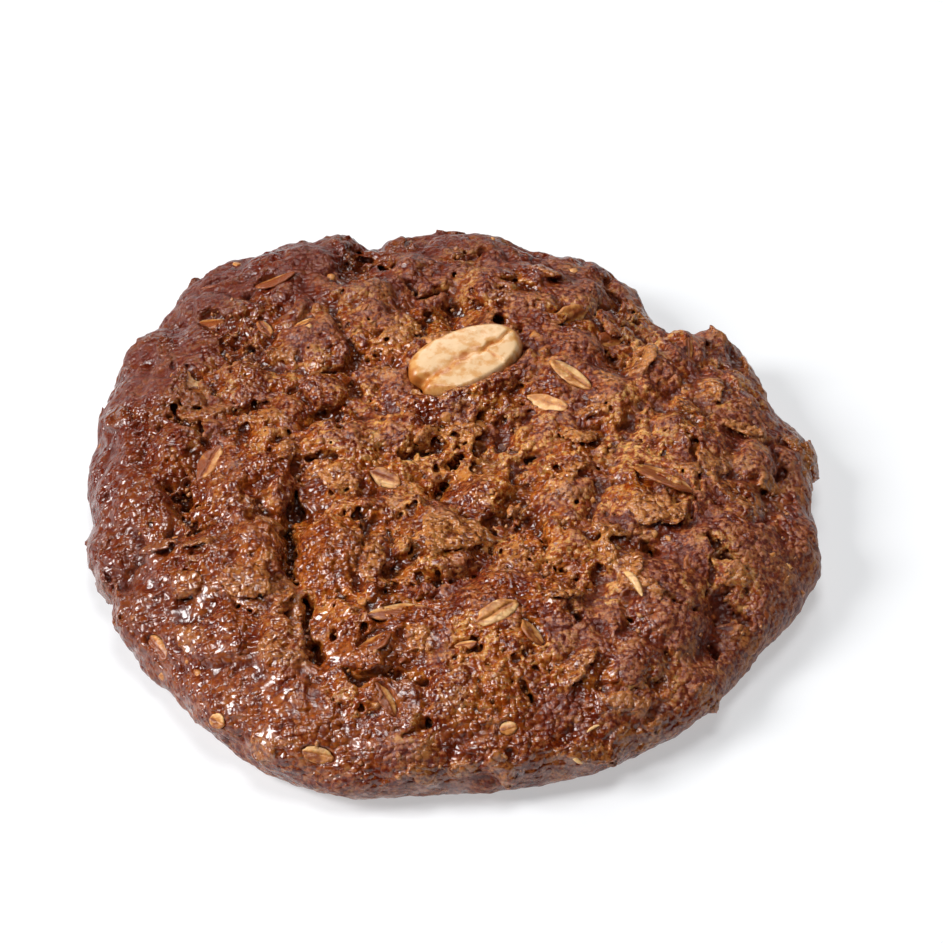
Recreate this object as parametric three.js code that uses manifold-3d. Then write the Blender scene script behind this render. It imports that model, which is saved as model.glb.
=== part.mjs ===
// Peanut cookie: a round, hand-shaped oat and peanut biscuit, crusty and split on top, with one blanched
// peanut half pressed into it. Millimetres, +Z up; the origin is the middle of the flat underside.
import * as THREE from "three";
import { ImprovedNoise } from "three/addons/math/ImprovedNoise.js";
import { mergeVertices } from "three/addons/utils/BufferGeometryUtils.js";
import Module from "manifold-3d";

const DEG = Math.PI / 180;

// The cookie's section, from its axis out to its rim.
const COOKIE_RADIUS = 45.8; // of the plain round that the swells below are added to
const CROWN_HEIGHT = 14.2;
const CROWN_DISH = 0.9; // how far the middle has sunk below the crown
const SHOULDER_WIDTH = 22; // from where the crown starts to fall, out to the belly
const BELLY_HEIGHT = 5; // the height at which the cookie is widest
const FOOT_INSET = 4; // the underside's edge, in from the belly
const FOOT_RADIUS = COOKIE_RADIUS - FOOT_INSET;
const DISH_EASE = 0.4; // how gently the dish rises to the crown, as a share of its reach
const SHOULDER_FULLNESS = { across: 0.55, down: 0.5 }; // how squarely the shoulder turns down
const BACK_LEFT_RISE = 0.06; // the share by which the back left is thicker, and the front right thinner
const RISE_BEARING = 125;

// The outline: each swell is a bell on the rim's radius, and a negative one is a notch.
// Bearings are in degrees, from +X round to +Y.
const SWELLS = [
  { bearing: -149, swell: 1.5, spread: 8 },
  { bearing: -113, swell: 5.6, spread: 16 },
  { bearing: -64, swell: 3.1, spread: 20 },
  { bearing: -16, swell: 2.9, spread: 8.5 },
  { bearing: 8, swell: 1.8, spread: 7 },
  { bearing: 37, swell: 2.0, spread: 4 },
  { bearing: 49, swell: -4.1, spread: 4 },
  { bearing: 60, swell: 1.2, spread: 6 },
  { bearing: 85, swell: 3.5, spread: 12 },
  { bearing: 103, swell: -2.4, spread: 1.8 },
  { bearing: 113, swell: 1.0, spread: 4 },
  { bearing: 126, swell: 7.3, spread: 18.5 },
  { bearing: 166, swell: 1.8, spread: 28 },
];

// The dough is in lumps. The largest are placed here, and a sunflower spread fills in the rest.
const LARGE_LUMPS = [
  { x: -28, y: -18, size: 9 },
  { x: -25, y: -3, size: 7 },
  { x: -14, y: -16, size: 7 },
  { x: -3, y: -17, size: 6 },
  { x: 5, y: -28, size: 7 },
  { x: -8, y: -28, size: 6 },
  { x: 6, y: -6, size: 5.5 },
  { x: 14, y: 15, size: 7 },
  { x: 26, y: -7, size: 7.5 },
  { x: -37, y: 14, size: 6 },
  { x: 12, y: 30, size: 7 },
  { x: 35, y: -17, size: 8 },
];
const SPREAD_LUMPS = 84;
const SPREAD_LUMP_SIZE = 5.2;
const SPREAD_UNEVENNESS = { turn: 0.35, turnBeat: 2.7, size: 0.25, sizeBeat: 5.1 };
const GOLDEN_ANGLE = Math.PI * (3 - Math.sqrt(5));
const LUMP_SWELL = 0.75; // how far a lump's top stands out
const SEAM_DEPTH = 0.9; // how far the dough sinks between two lumps
const SEAM_WIDTH = 1.5;
const LUMP_RAGGEDNESS = { share: 0.18, size: 6 };
const GRIT = { depth: 0.28, size: 3.2 };

// Where the crust has split: a route across the top, seen from above, with a depth and a half width.
const SPLITS = [
  { route: [[-30, 3], [-34, -4], [-33, -9], [-30, -13]], depth: 2.6, width: 2.2 }, // left hollow
  { route: [[-19.5, -4], [-20.5, -14], [-20, -21], [-17, -29], [-16.5, -35]], depth: 2.0, width: 1.5 },
  { route: [[-8, -13], [-7.5, -20], [-2, -23.5], [4, -18], [6.5, -12.5], [3, -10]], depth: 1.6, width: 1.4 },
  { route: [[0.5, -7], [-0.5, -1.5], [3.5, 2], [6.5, 7]], depth: 2.2, width: 2.0 }, // below the peanut
  { route: [[10.5, 16], [11.5, 20], [9, 23]], depth: 1.8, width: 1.8 }, // at the peanut's far end
  { route: [[9.5, -10], [11, -18], [16, -22], [21, -24]], depth: 2.3, width: 1.9 },
  { route: [[24, -16], [31, -18.5], [35, -24], [31.5, -31]], depth: 2.0, width: 1.6 },
  { route: [[40, -5], [44, 0], [42, 6]], depth: 1.9, width: 1.6 },
  { route: [[-7, 29], [-3, 33.5], [0.5, 27.5], [3, 25]], depth: 2.2, width: 2.0 }, // behind the peanut
  { route: [[-11.5, 48], [-10.5, 40], [-7, 35]], depth: 2.0, width: 1.5 },
  { route: [[36, 37], [29, 29], [23, 22.5], [21.5, 17]], depth: 2.2, width: 2.1 }, // into the deep notch
  { route: [[-43, 34], [-36, 27.5], [-28, 25]], depth: 1.8, width: 1.5 },
  { route: [[-47, -19], [-43, -17.5], [-39, -19]], depth: 1.5, width: 1.5 },
];
const SPLIT_WANDER = { reach: 1.1, size: 4 };
const SPLIT_OPENNESS = { usual: 0.8, change: 0.5, size: 7, layer: 9 };
const SPLIT_STEPS = 8; // between two points of a route

// The peanut half lies with its split face up and its rounded back in the dough.
const PEANUT = { length: 16.2, width: 9.2, height: 4.8 };
const PEANUT_FACE_SHARE = 0.4; // of its height that is above its widest line
const PEANUT_BLUNTNESS = 0.25; // how full its ends are
const PEANUT_FLATNESS = { across: 0.5, along: 0.35 }; // of the split face; smaller is flatter
const PEANUT_GROOVE = { depth: 0.8, halfWidth: 0.8, wander: 0.5 };
const PEANUT_NOTCH = { depth: 1.1, halfWidth: 0.9 }; // where the germ sat, at the blunt end
const PEANUT_TAPER = 0.1; // by which the far end is narrower than the blunt one
const PEANUT_PLACE = { x: 1.9, y: 16.6, top: 16.2 };
const PEANUT_TURN = 31; // bearing of its length
const PEANUT_TILT = { nose: 2, side: 9 }; // degrees that it leans, nose up and front edge down
const SEAT_GAP = 0.35; // clear space left round the peanut

// How finely the two solids are faceted.
const DOUGH_DETAIL = 22;
const UNDERSIDE_SHARE = 0.3; // of the dough's facets, before the underside is cut flat
const UNDERSIDE_SAG = 1; // how far the uncut underside hangs below the foot
const PEANUT_STEPS = { round: 32, long: 16 };

const WELD_DISTANCE = 1e-4;
const SECOND_OCTAVE = { pitch: 2.1, shift: [7.3, 0, -4.1] }; // of the noise below

const noise = new ImprovedNoise();
const bell = (x) => Math.exp(-x * x);

// Fractal noise in two octaves, between about -1 and 1, of the given feature size.
function roughness(x, y, z, size) {
  const coarse = noise.noise(x / size, y / size, z / size);
  const pitch = SECOND_OCTAVE.pitch / size;
  const [shiftX, shiftY, shiftZ] = SECOND_OCTAVE.shift;
  const fine = noise.noise(pitch * x + shiftX, pitch * y + shiftY, pitch * z + shiftZ);
  return coarse + 0.5 * fine;
}

// The same surface with its shared corners joined.
function merged(geometry) {
  geometry.deleteAttribute("normal");
  geometry.deleteAttribute("uv");
  return mergeVertices(geometry, WELD_DISTANCE);
}

// The turn from one bearing to another, in degrees, between -180 and 180.
function turnBetween(from, to) {
  return ((((to - from) % 360) + 540) % 360) - 180;
}

function rimRadius(bearing) {
  const add = (radius, s) => radius + s.swell * bell(turnBetween(s.bearing, bearing) / s.spread / Math.SQRT2);
  return SWELLS.reduce(add, COOKIE_RADIUS);
}

// The half section from the middle of the crown to the edge of the flat underside: a dished crown, a full
// round shoulder down to the belly, and a quarter ellipse in to the foot.
function crustSection() {
  const shoulderStart = COOKIE_RADIUS - SHOULDER_WIDTH;
  const section = new THREE.Path();
  section.moveTo(0, CROWN_HEIGHT - CROWN_DISH);
  section.bezierCurveTo(
    DISH_EASE * shoulderStart, CROWN_HEIGHT - CROWN_DISH,
    (1 - DISH_EASE) * shoulderStart, CROWN_HEIGHT,
    shoulderStart, CROWN_HEIGHT,
  );
  section.bezierCurveTo(
    shoulderStart + SHOULDER_FULLNESS.across * SHOULDER_WIDTH, CROWN_HEIGHT,
    COOKIE_RADIUS, BELLY_HEIGHT + SHOULDER_FULLNESS.down * (CROWN_HEIGHT - BELLY_HEIGHT),
    COOKIE_RADIUS, BELLY_HEIGHT,
  );
  section.absellipse(FOOT_RADIUS, BELLY_HEIGHT, FOOT_INSET, BELLY_HEIGHT, 0, -90 * DEG, true);
  return section;
}

// A finely faceted ball becomes the plain round, with its facets spread evenly over the crust.
function plainRound() {
  const ball = merged(new THREE.IcosahedronGeometry(1, DOUGH_DETAIL));
  const section = crustSection();
  const position = ball.getAttribute("position");
  const point = new THREE.Vector3();
  for (let i = 0; i < position.count; i++) {
    point.fromBufferAttribute(position, i).normalize();
    const bearing = Math.atan2(point.y, point.x);
    const covered = (1 - point.z) / 2; // share of the ball's skin that is above this point
    const on = covered > 1 - UNDERSIDE_SHARE
      ? new THREE.Vector2(FOOT_RADIUS * Math.sqrt((1 - covered) / UNDERSIDE_SHARE), -UNDERSIDE_SAG)
      : section.getPointAt(Math.sqrt(covered / (1 - UNDERSIDE_SHARE)));
    position.setXYZ(i, on.x * Math.cos(bearing), on.x * Math.sin(bearing), on.y);
  }
  return ball;
}

// Moves a point of the plain round out to the real outline and thickness.
function toOutline(point) {
  const bearing = Math.atan2(point.y, point.x) / DEG;
  const reach = Math.hypot(point.x, point.y) / COOKIE_RADIUS;
  const stretch = rimRadius(bearing) / COOKIE_RADIUS;
  const rise = 1 + BACK_LEFT_RISE * reach * Math.cos((bearing - RISE_BEARING) * DEG);
  return point.set(point.x * stretch, point.y * stretch, point.z * rise);
}

// Every lump's middle, on the cookie's surface.
function lumpCentres() {
  const section = crustSection();
  const lumps = LARGE_LUMPS.map(({ x, y, size }) => {
    return { at: new THREE.Vector3(x, y, CROWN_HEIGHT), size };
  });
  for (let i = 0; i < SPREAD_LUMPS; i++) {
    const on = section.getPointAt(Math.sqrt((i + 0.5) / SPREAD_LUMPS));
    const bearing = i * GOLDEN_ANGLE + SPREAD_UNEVENNESS.turn * Math.sin(SPREAD_UNEVENNESS.turnBeat * i);
    const at = toOutline(new THREE.Vector3(on.x * Math.cos(bearing), on.x * Math.sin(bearing), on.y));
    const crowded = LARGE_LUMPS.some(({ x, y, size }) => Math.hypot(at.x - x, at.y - y) < size);
    const uneven = SPREAD_UNEVENNESS.size * Math.sin(SPREAD_UNEVENNESS.sizeBeat * i);
    const size = SPREAD_LUMP_SIZE * (1 + uneven);
    if (!crowded) lumps.push({ at, size });
  }
  return lumps;
}

// Lumps stand out as low domes, with the dough sunk in the seams between them.
function lumpRelief(point, lumps) {
  const ragged = LUMP_RAGGEDNESS.share * roughness(point.x, point.y, point.z, LUMP_RAGGEDNESS.size);
  let nearest = Infinity;
  let second = Infinity;
  for (const lump of lumps) {
    const away = point.distanceTo(lump.at) / lump.size + ragged;
    second = Math.min(second, Math.max(nearest, away));
    nearest = Math.min(nearest, away);
  }
  const dome = Math.max(0, 1 - nearest * nearest);
  const seam = bell(((second - nearest) * SPREAD_LUMP_SIZE) / SEAM_WIDTH);
  return LUMP_SWELL * dome - SEAM_DEPTH * seam;
}

// Each split as points close together along its smoothed route.
function splitTraces() {
  return SPLITS.map(({ route, depth, width }) => {
    const curve = new THREE.CatmullRomCurve3(route.map(([x, y]) => new THREE.Vector3(x, y, 0)));
    return { points: curve.getSpacedPoints(SPLIT_STEPS * route.length), depth, width };
  });
}

function splitRelief(point, traces) {
  const wander = SPLIT_WANDER.reach * roughness(point.x, point.y, 0, SPLIT_WANDER.size);
  const change = roughness(point.x, point.y, SPLIT_OPENNESS.layer, SPLIT_OPENNESS.size);
  const open = SPLIT_OPENNESS.usual + SPLIT_OPENNESS.change * change;
  let sunk = 0;
  for (const { points, depth, width } of traces) {
    const away = Math.min(...points.map((p) => Math.hypot(p.x - point.x, p.y - point.y)));
    sunk = Math.max(sunk, depth * open * bell((away + wander) / width));
  }
  return -sunk;
}

// The plain round pushed out to the outline, then given its lumps and splits.
function doughGeometry() {
  const geometry = plainRound();
  const position = geometry.getAttribute("position");
  const point = new THREE.Vector3();
  for (let i = 0; i < position.count; i++) {
    toOutline(point.fromBufferAttribute(position, i));
    position.setXYZ(i, point.x, point.y, point.z);
  }
  geometry.computeVertexNormals();
  const normal = geometry.getAttribute("normal");
  const lumps = lumpCentres();
  const traces = splitTraces();
  const outward = new THREE.Vector3();
  for (let i = 0; i < position.count; i++) {
    point.fromBufferAttribute(position, i);
    outward.fromBufferAttribute(normal, i);
    if (point.z < 0) continue;
    const kept = THREE.MathUtils.smoothstep(point.z, 0, BELLY_HEIGHT);
    const relief = lumpRelief(point, lumps) + splitRelief(point, traces);
    const grit = GRIT.depth * roughness(point.x, point.y, point.z, GRIT.size);
    point.addScaledVector(outward, kept * (relief + grit));
    position.setXYZ(i, point.x, point.y, point.z);
  }
  return geometry;
}

// A ball with its poles at the two ends of the kernel becomes the peanut half: a flat split face with a
// groove along it, over a rounded back. Grown, it is the plain shape of the kernel's seat.
function peanutGeometry(grow = 0) {
  const geometry = merged(new THREE.SphereGeometry(1, PEANUT_STEPS.round, PEANUT_STEPS.long));
  geometry.rotateZ(90 * DEG);
  const position = geometry.getAttribute("position");
  const faceHeight = PEANUT.height * PEANUT_FACE_SHARE;
  const backDepth = PEANUT.height - faceHeight;
  const p = new THREE.Vector3();
  for (let i = 0; i < position.count; i++) {
    p.fromBufferAttribute(position, i);
    const girth = Math.hypot(p.y, p.z);
    const fullness = Math.pow(Math.max(girth, 1e-6), -PEANUT_BLUNTNESS);
    let x = (PEANUT.length / 2 + grow) * p.x;
    const y = (PEANUT.width / 2 + grow) * p.y * fullness * (1 - PEANUT_TAPER * p.x);
    const rise = girth > 0 ? Math.max(p.z, 0) / girth : 0;
    const flat = Math.pow(rise, PEANUT_FLATNESS.across) * Math.pow(girth, PEANUT_FLATNESS.along);
    const face = (faceHeight + grow) * flat;
    const back = (backDepth + grow) * Math.min(p.z, 0) * fullness;
    let z = face + back;
    if (grow === 0) {
      const middle = PEANUT_GROOVE.wander * Math.sin((3 * x) / PEANUT.length);
      z -= PEANUT_GROOVE.depth * rise * girth * bell((y - middle) / PEANUT_GROOVE.halfWidth);
      x += PEANUT_NOTCH.depth * Math.pow(Math.max(-p.x, 0), 3) * bell(y / PEANUT_NOTCH.halfWidth);
    }
    position.setXYZ(i, x, y, z);
  }
  geometry.rotateX(PEANUT_TILT.side * DEG);
  geometry.rotateY(-PEANUT_TILT.nose * DEG);
  geometry.rotateZ(PEANUT_TURN * DEG);
  geometry.translate(PEANUT_PLACE.x, PEANUT_PLACE.y, PEANUT_PLACE.top - faceHeight);
  return geometry;
}

const wasm = await Module();
wasm.setup();

function toSolid(geometry) {
  return new wasm.Manifold(
    new wasm.Mesh({
      numProp: 3,
      vertProperties: geometry.getAttribute("position").array,
      triVerts: new Uint32Array(geometry.getIndex().array),
    }),
  );
}

function toGeometry(solid) {
  const mesh = solid.getMesh();
  const geometry = new THREE.BufferGeometry();
  geometry.setAttribute("position", new THREE.BufferAttribute(mesh.vertProperties, 3));
  geometry.setIndex(new THREE.BufferAttribute(mesh.triVerts, 1));
  geometry.computeVertexNormals();
  return geometry;
}

// The slab of the tray that the dough stood on, which leaves its underside flat.
function trayGeometry() {
  const span = 4 * COOKIE_RADIUS;
  const tray = new THREE.BoxGeometry(span, span, 2 * CROWN_HEIGHT);
  tray.translate(0, 0, -CROWN_HEIGHT);
  return merged(tray);
}

// The dough, flat underneath, with the peanut's seat pressed into it.
function cookieGeometry() {
  const dough = toSolid(doughGeometry());
  return toGeometry(dough.subtract(toSolid(trayGeometry())).subtract(toSolid(peanutGeometry(SEAT_GAP))));
}

const crust = new THREE.MeshStandardMaterial({ color: 0x844e35, roughness: 0.55, metalness: 0 });
const blanchedNut = new THREE.MeshStandardMaterial({ color: 0xe8c890, roughness: 0.5, metalness: 0 });

const cookieDough = new THREE.Mesh(cookieGeometry(), crust);
cookieDough.name = "cookie_dough";

const peanutHalf = new THREE.Mesh(peanutGeometry(), blanchedNut);
peanutHalf.name = "peanut_half";

const cookie = new THREE.Group();
cookie.add(cookieDough, peanutHalf);

// The outline isn't even, so the middle of its box is brought to the origin here.
const middle = new THREE.Box3().setFromObject(cookieDough, true).getCenter(new THREE.Vector3());
cookie.position.set(-middle.x, -middle.y, 0);

export default cookie;
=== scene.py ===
"""Peanut cookie: a crusty oat cookie with half a peanut baked into its top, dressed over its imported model."""

import itertools
import math
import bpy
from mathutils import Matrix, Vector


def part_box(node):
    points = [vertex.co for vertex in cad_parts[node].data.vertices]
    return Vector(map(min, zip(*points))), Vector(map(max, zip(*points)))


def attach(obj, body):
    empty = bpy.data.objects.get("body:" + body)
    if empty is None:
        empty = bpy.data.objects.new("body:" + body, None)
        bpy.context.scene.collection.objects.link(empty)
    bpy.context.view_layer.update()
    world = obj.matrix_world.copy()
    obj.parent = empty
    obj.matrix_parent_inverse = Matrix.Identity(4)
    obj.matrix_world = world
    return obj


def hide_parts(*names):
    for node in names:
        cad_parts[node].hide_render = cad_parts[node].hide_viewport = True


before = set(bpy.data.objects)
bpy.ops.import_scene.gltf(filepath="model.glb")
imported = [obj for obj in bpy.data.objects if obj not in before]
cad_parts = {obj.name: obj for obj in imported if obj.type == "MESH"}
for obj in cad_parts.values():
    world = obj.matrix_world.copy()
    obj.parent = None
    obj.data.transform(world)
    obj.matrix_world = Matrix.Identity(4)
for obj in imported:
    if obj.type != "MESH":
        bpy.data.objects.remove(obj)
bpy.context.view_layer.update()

from concurrent.futures import ThreadPoolExecutor

import bpy
import numpy as np
from mathutils import Vector
from mathutils.bvhtree import BVHTree

bl_info = {
    "name": "Peanut Cookie",
    "version": (1, 0, 0),
    "blender": (4, 5, 0),
    "location": "3D View > Sidebar > Cookie",
    "description": "Dresses a packed peanut cookie with its crust, crumb, oat flakes and peanut",
    "category": "Add Mesh",
}

DOUGH_NODE = "cookie_dough"
PEANUT_NODE = "peanut_half"
MM = 0.001  # all shapes are worked out in mm, and meshes are in metres
HALF_WIDTH, HALF_DEPTH = 48, 50  # of the cookie, in mm, to its outermost points
FAR = 99  # further than any distance that matters, in mm
BATCH = 40000  # points worked out at a time
HOLLOW_ROUNDS = 60  # rounds of rubbing smooth, for finding the small hollows of the dough
FILL_DEPTH = 0.02  # how far inside the surface a filled grid point is put, in mm

# Things found once and used by more than one operator.
kitchen = {}


# ----------------------------------------------------------------------------------------------------
# Noise, on arrays of points in mm.

SHUFFLE = np.random.default_rng(5).permutation(256).astype(np.int32)
_spread = np.random.default_rng(6).normal(size=(256, 3))
GRADIENTS = (_spread / np.linalg.norm(_spread, axis=1)[:, None]).astype(np.float32)
CENTRES = np.random.default_rng(8).random((256, 3)).astype(np.float32)


def in_batches(shape, arrays, *rest):
    """Runs a function of many points in batches, side by side. Only the arrays are cut up."""
    cuts = [np.array_split(array, len(array) // BATCH + 1) for array in arrays]
    with ThreadPoolExecutor() as pool:
        return np.concatenate(list(pool.map(lambda batch: shape(*batch, *rest), zip(*cuts))))


def corner_key(corner, seed):
    """A random whole number from 0 to 255 for each corner of the noise's lattice."""
    key = SHUFFLE[(corner[:, 0] + 37 * seed) & 255]
    key = SHUFFLE[(key + corner[:, 1] + seed) & 255]
    return SHUFFLE[(key + corner[:, 2]) & 255]


def noise(points, pitch, seed):
    """Smooth swings between about -1 and 1, one every pitch."""
    scaled = points / np.float32(pitch)
    corner = np.floor(scaled).astype(np.int32)
    local = scaled - corner
    ease = local * local * local * (local * (local * 6 - 15) + 10)
    total = np.zeros(len(points), np.float32)
    for step in itertools.product((0, 1), repeat=3):
        gradient = GRADIENTS[corner_key(corner + np.int32(step), seed)]
        weight = np.ones(len(points), np.float32)
        for axis in range(3):
            weight *= ease[:, axis] if step[axis] else 1 - ease[:, axis]
        total += weight * ((local - np.float32(step)) * gradient).sum(1)
    return total * 1.8


def drift(points, pitch, reach, seed):
    """The points, each moved by up to about reach."""
    moved = [noise(points, pitch, seed + axis) for axis in range(3)]
    return points + np.stack(moved, 1) * np.float32(reach)


def cells(points, pitch, seed):
    """Distances to the nearest two of scattered centres, and a random number from 0 to 1 for the nearest."""
    scaled = points / np.float32(pitch)
    corner = np.floor(scaled).astype(np.int32)
    local = scaled - corner
    near = np.full(len(points), 9, np.float32)
    second = near.copy()
    tag = np.zeros(len(points), np.int32)
    for step in itertools.product((-1, 0, 1), repeat=3):
        key = corner_key(corner + np.int32(step), seed)
        away = CENTRES[key] + np.float32(step) - local
        gap = (away * away).sum(1)
        closer = gap < near
        second = np.where(closer, near, np.minimum(second, gap))
        tag = np.where(closer, key, tag)
        near = np.minimum(near, gap)
    return np.sqrt(near) * pitch, np.sqrt(second) * pitch, tag / np.float32(255)


def ease_between(value, low, high):
    """0 at low, 1 at high, and smooth between them."""
    share = np.clip((value - low) / (high - low), 0, 1)
    return share * share * (3 - 2 * share)


def carve(field, cut, softness):
    """The field with the cut taken out, with an edge rounded over softness. Both are below 0 inside."""
    blend = np.clip(0.5 - 0.5 * (field + cut) / softness, 0, 1)
    return field * (1 - blend) - cut * blend + softness * blend * (1 - blend)


def join_on(field, added, softness):
    """The field with another form added to it, with a fillet of that softness."""
    return -carve(-field, added, softness)


# ----------------------------------------------------------------------------------------------------
# Blocks of numbers over the cookie, and the skin of a block.


class Block:
    """Numbers on an even grid of points, in mm."""

    def __init__(self, low, pitch, values):
        self.low = np.asarray(low, np.float32)
        self.pitch = pitch
        self.values = values

    def points(self, chosen):
        """Where the chosen grid points are."""
        return self.low + np.argwhere(chosen).astype(np.float32) * np.float32(self.pitch)

    def at(self, points):
        """The value at any points, blended from the eight grid points round each."""
        spot = (points - self.low) / self.pitch
        spot = np.clip(spot, 0, np.array(self.values.shape) - 1.001)
        base = spot.astype(np.int32)
        part = spot - base
        total = np.zeros(len(points), np.float32)
        for step in itertools.product((0, 1), repeat=3):
            weight = np.prod(np.where(step, part, 1 - part), axis=1)
            total += weight * self.values[tuple((base + np.int32(step)).T)]
        return total

    def slope(self, points):
        """The direction in which the value rises fastest, as unit vectors."""
        step = np.eye(3, dtype=np.float32) * self.pitch
        rise = np.stack([self.at(points + s) - self.at(points - s) for s in step], 1)
        return rise / np.linalg.norm(rise, axis=1)[:, None]

    def finer(self):
        """The same block at half the pitch."""
        values = self.values
        for axis in range(3):
            values = np.moveaxis(values, axis, 0)
            doubled = np.empty((2 * len(values) - 1, *values.shape[1:]), np.float32)
            doubled[::2] = values
            doubled[1::2] = (values[1:] + values[:-1]) / 2
            values = np.moveaxis(doubled, 0, axis)
        return Block(self.low, self.pitch / 2, values)

    def softer(self, passes):
        """The same block, smoothed over about a grid step for each pass."""
        values = self.values
        for axis in list(range(3)) * passes:
            values = np.moveaxis(values, axis, 0).copy()
            values[1:-1] = (values[2:] + 2 * values[1:-1] + values[:-2]) / 4
            values = np.moveaxis(values, 0, axis)
        return Block(self.low, self.pitch, values)


def box_of(name):
    """The lowest and highest corners of a CAD node in mm."""
    return (np.array(corner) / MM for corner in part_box(name))


def distance_to(name, margin, pitch):
    """A block of the distance to a CAD node in mm, below 0 inside it, out to a margin round it."""
    low, high = box_of(name)
    low = low - margin
    counts = np.ceil((high + margin - low) / pitch).astype(int) + 1
    tree = BVHTree.FromObject(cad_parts[name], bpy.context.evaluated_depsgraph_get())
    xs, ys, zs = (low[axis] + np.arange(counts[axis]) * pitch for axis in range(3))
    values = np.empty(counts, np.float32)
    down = Vector((0, 0, -1))
    for i, x in enumerate(xs):
        for j, y in enumerate(ys):
            crossings = []
            start = Vector((x * MM, y * MM, (zs[-1] + pitch) * MM))
            hit = tree.ray_cast(start, down)[0]
            while hit is not None:
                crossings.append(hit.z / MM)
                hit = tree.ray_cast(hit + down * 1e-6, down)[0]
            above = (np.array(crossings).reshape(-1, 1) > zs[None, :]).sum(0)
            for k, z in enumerate(zs):
                gap = tree.find_nearest(Vector((x * MM, y * MM, z * MM)))[3] / MM
                values[i, j, k] = -gap if above[k] % 2 else gap
    return Block(low, pitch, values)


def without_pinches(values):
    """A block's values, filled in wherever the solid would touch itself only along an edge or at a corner."""
    filled = values < 0
    count = -1
    while count != filled.sum():
        count = filled.sum()
        for axis in range(3):
            layers = np.moveaxis(filled, axis, 0)
            a, b, c, d = layers[:, :-1, :-1], layers[:, 1:, :-1], layers[:, :-1, 1:], layers[:, 1:, 1:]
            pinched = (a == d) & (b == c) & (a != b)
            for corner in (a, b, c, d):
                corner |= pinched
        halves = (slice(None, -1), slice(1, None))
        corners = [filled[cut] for cut in itertools.product(halves, repeat=3)]
        total = sum(corner.astype(np.int8) for corner in corners)
        pinched = np.zeros(total.shape, bool)
        for near, far in zip(corners[:4], corners[:3:-1]):
            pinched |= (near & far & (total == 2)) | (~near & ~far & (total == 6))
        for corner in corners:
            corner |= pinched
    return np.where(filled & (values >= 0), -FILL_DEPTH, values).astype(np.float32)


def skin_of(block):
    """Points and four-sided faces of the surface where a block's value is 0."""
    values = block.values
    inside = values < 0
    rings, crossings = [], []
    for axis in range(3):
        ahead = [slice(None)] * 3
        behind = [slice(None)] * 3
        ahead[axis], behind[axis] = slice(1, None), slice(None, -1)
        spot = np.argwhere(inside[tuple(ahead)] != inside[tuple(behind)]).astype(np.int32)
        forward = np.zeros(3, np.int32)
        forward[axis] = 1
        first = values[tuple(spot.T)]
        last = values[tuple((spot + forward).T)]
        crossing = spot + (first / (first - last))[:, None] * forward
        across, up = np.roll(forward, 1), np.roll(forward, 2)
        ring = np.stack([spot, spot - across, spot - across - up, spot - up], 1)
        outward = first < 0
        rings.append(np.where(outward[:, None, None], ring, ring[:, ::-1]))
        crossings.append(np.repeat(crossing[:, None], 4, 1))
    rings = np.concatenate(rings)
    flat = np.ravel_multi_index(tuple(rings.reshape(-1, 3).T), values.shape)
    _, faces = np.unique(flat, return_inverse=True)
    crossings = np.concatenate(crossings).reshape(-1, 3)
    share = np.bincount(faces)
    mean = np.stack([np.bincount(faces, crossings[:, axis]) / share for axis in range(3)], 1)
    return block.low + mean * block.pitch, faces.reshape(-1, 4)


def largest_piece(points, faces):
    """The largest connected piece of a mesh, so that no loose specks stay."""
    label = np.arange(len(points))
    while True:
        lowest = label[faces].min(1)
        new = label.copy()
        np.minimum.at(new, faces.ravel(), np.repeat(lowest, faces.shape[1]))
        new = new[new]
        if np.array_equal(new, label):
            break
        label = new
    kept = label == np.bincount(label).argmax()
    renumber = np.cumsum(kept) - 1
    return points[kept], renumber[faces[kept[faces[:, 0]]]]


# ----------------------------------------------------------------------------------------------------
# Meshes and small shapes.


def make_piece(name, points, faces, material, **measures):
    """A smooth-shaded object from points in mm and faces that all have the same number of corners."""
    mesh = bpy.data.meshes.new(name)
    points, faces = np.asarray(points, np.float32), np.asarray(faces, np.int32)
    mesh.vertices.add(len(points))
    mesh.vertices.foreach_set("co", (points * MM).ravel())
    mesh.loops.add(faces.size)
    mesh.loops.foreach_set("vertex_index", faces.ravel())
    mesh.polygons.add(len(faces))
    mesh.polygons.foreach_set("loop_start", np.arange(0, faces.size, faces.shape[1], dtype=np.int32))
    mesh.update(calc_edges=True)
    mesh.validate()
    mesh.shade_smooth()
    set_measures(mesh, measures)
    mesh.materials.append(material)
    piece = bpy.data.objects.new(name, mesh)
    bpy.context.scene.collection.objects.link(piece)
    return piece


def set_measures(mesh, measures):
    """Writes each array as an attribute of the mesh's points."""
    for name, values in measures.items():
        attribute = mesh.attributes.new(name, "FLOAT", "POINT")
        attribute.data.foreach_set("value", np.asarray(values, np.float32))


def points_of(mesh):
    """A mesh's points in mm."""
    flat = np.empty(len(mesh.vertices) * 3, np.float32)
    mesh.vertices.foreach_get("co", flat)
    return flat.reshape(-1, 3) / np.float32(MM)


def hollow_depth(mesh, rounds):
    """How deep each point lies in a small dip in mm, against the same surface rubbed smooth. Peaks are
    negative."""
    points = points_of(mesh)
    ends = np.empty(2 * len(mesh.edges), np.int32)
    mesh.edges.foreach_get("vertices", ends)
    here = np.concatenate([ends[::2], ends[1::2]])
    there = np.concatenate([ends[1::2], ends[::2]])
    count = np.bincount(here, minlength=len(points))
    rubbed = points.copy()
    for _ in range(rounds):
        for axis in range(3):
            rubbed[:, axis] += np.bincount(here, rubbed[there, axis], len(points)) / count
            rubbed[:, axis] /= 2
    normals = np.empty(3 * len(points), np.float32)
    mesh.vertex_normals.foreach_get("vector", normals)
    return ((rubbed - points) * normals.reshape(-1, 3)).sum(1)


def circle(steps):
    """Even angles all the way round, in radians."""
    return np.arange(steps) * 2 * math.pi / steps


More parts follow.
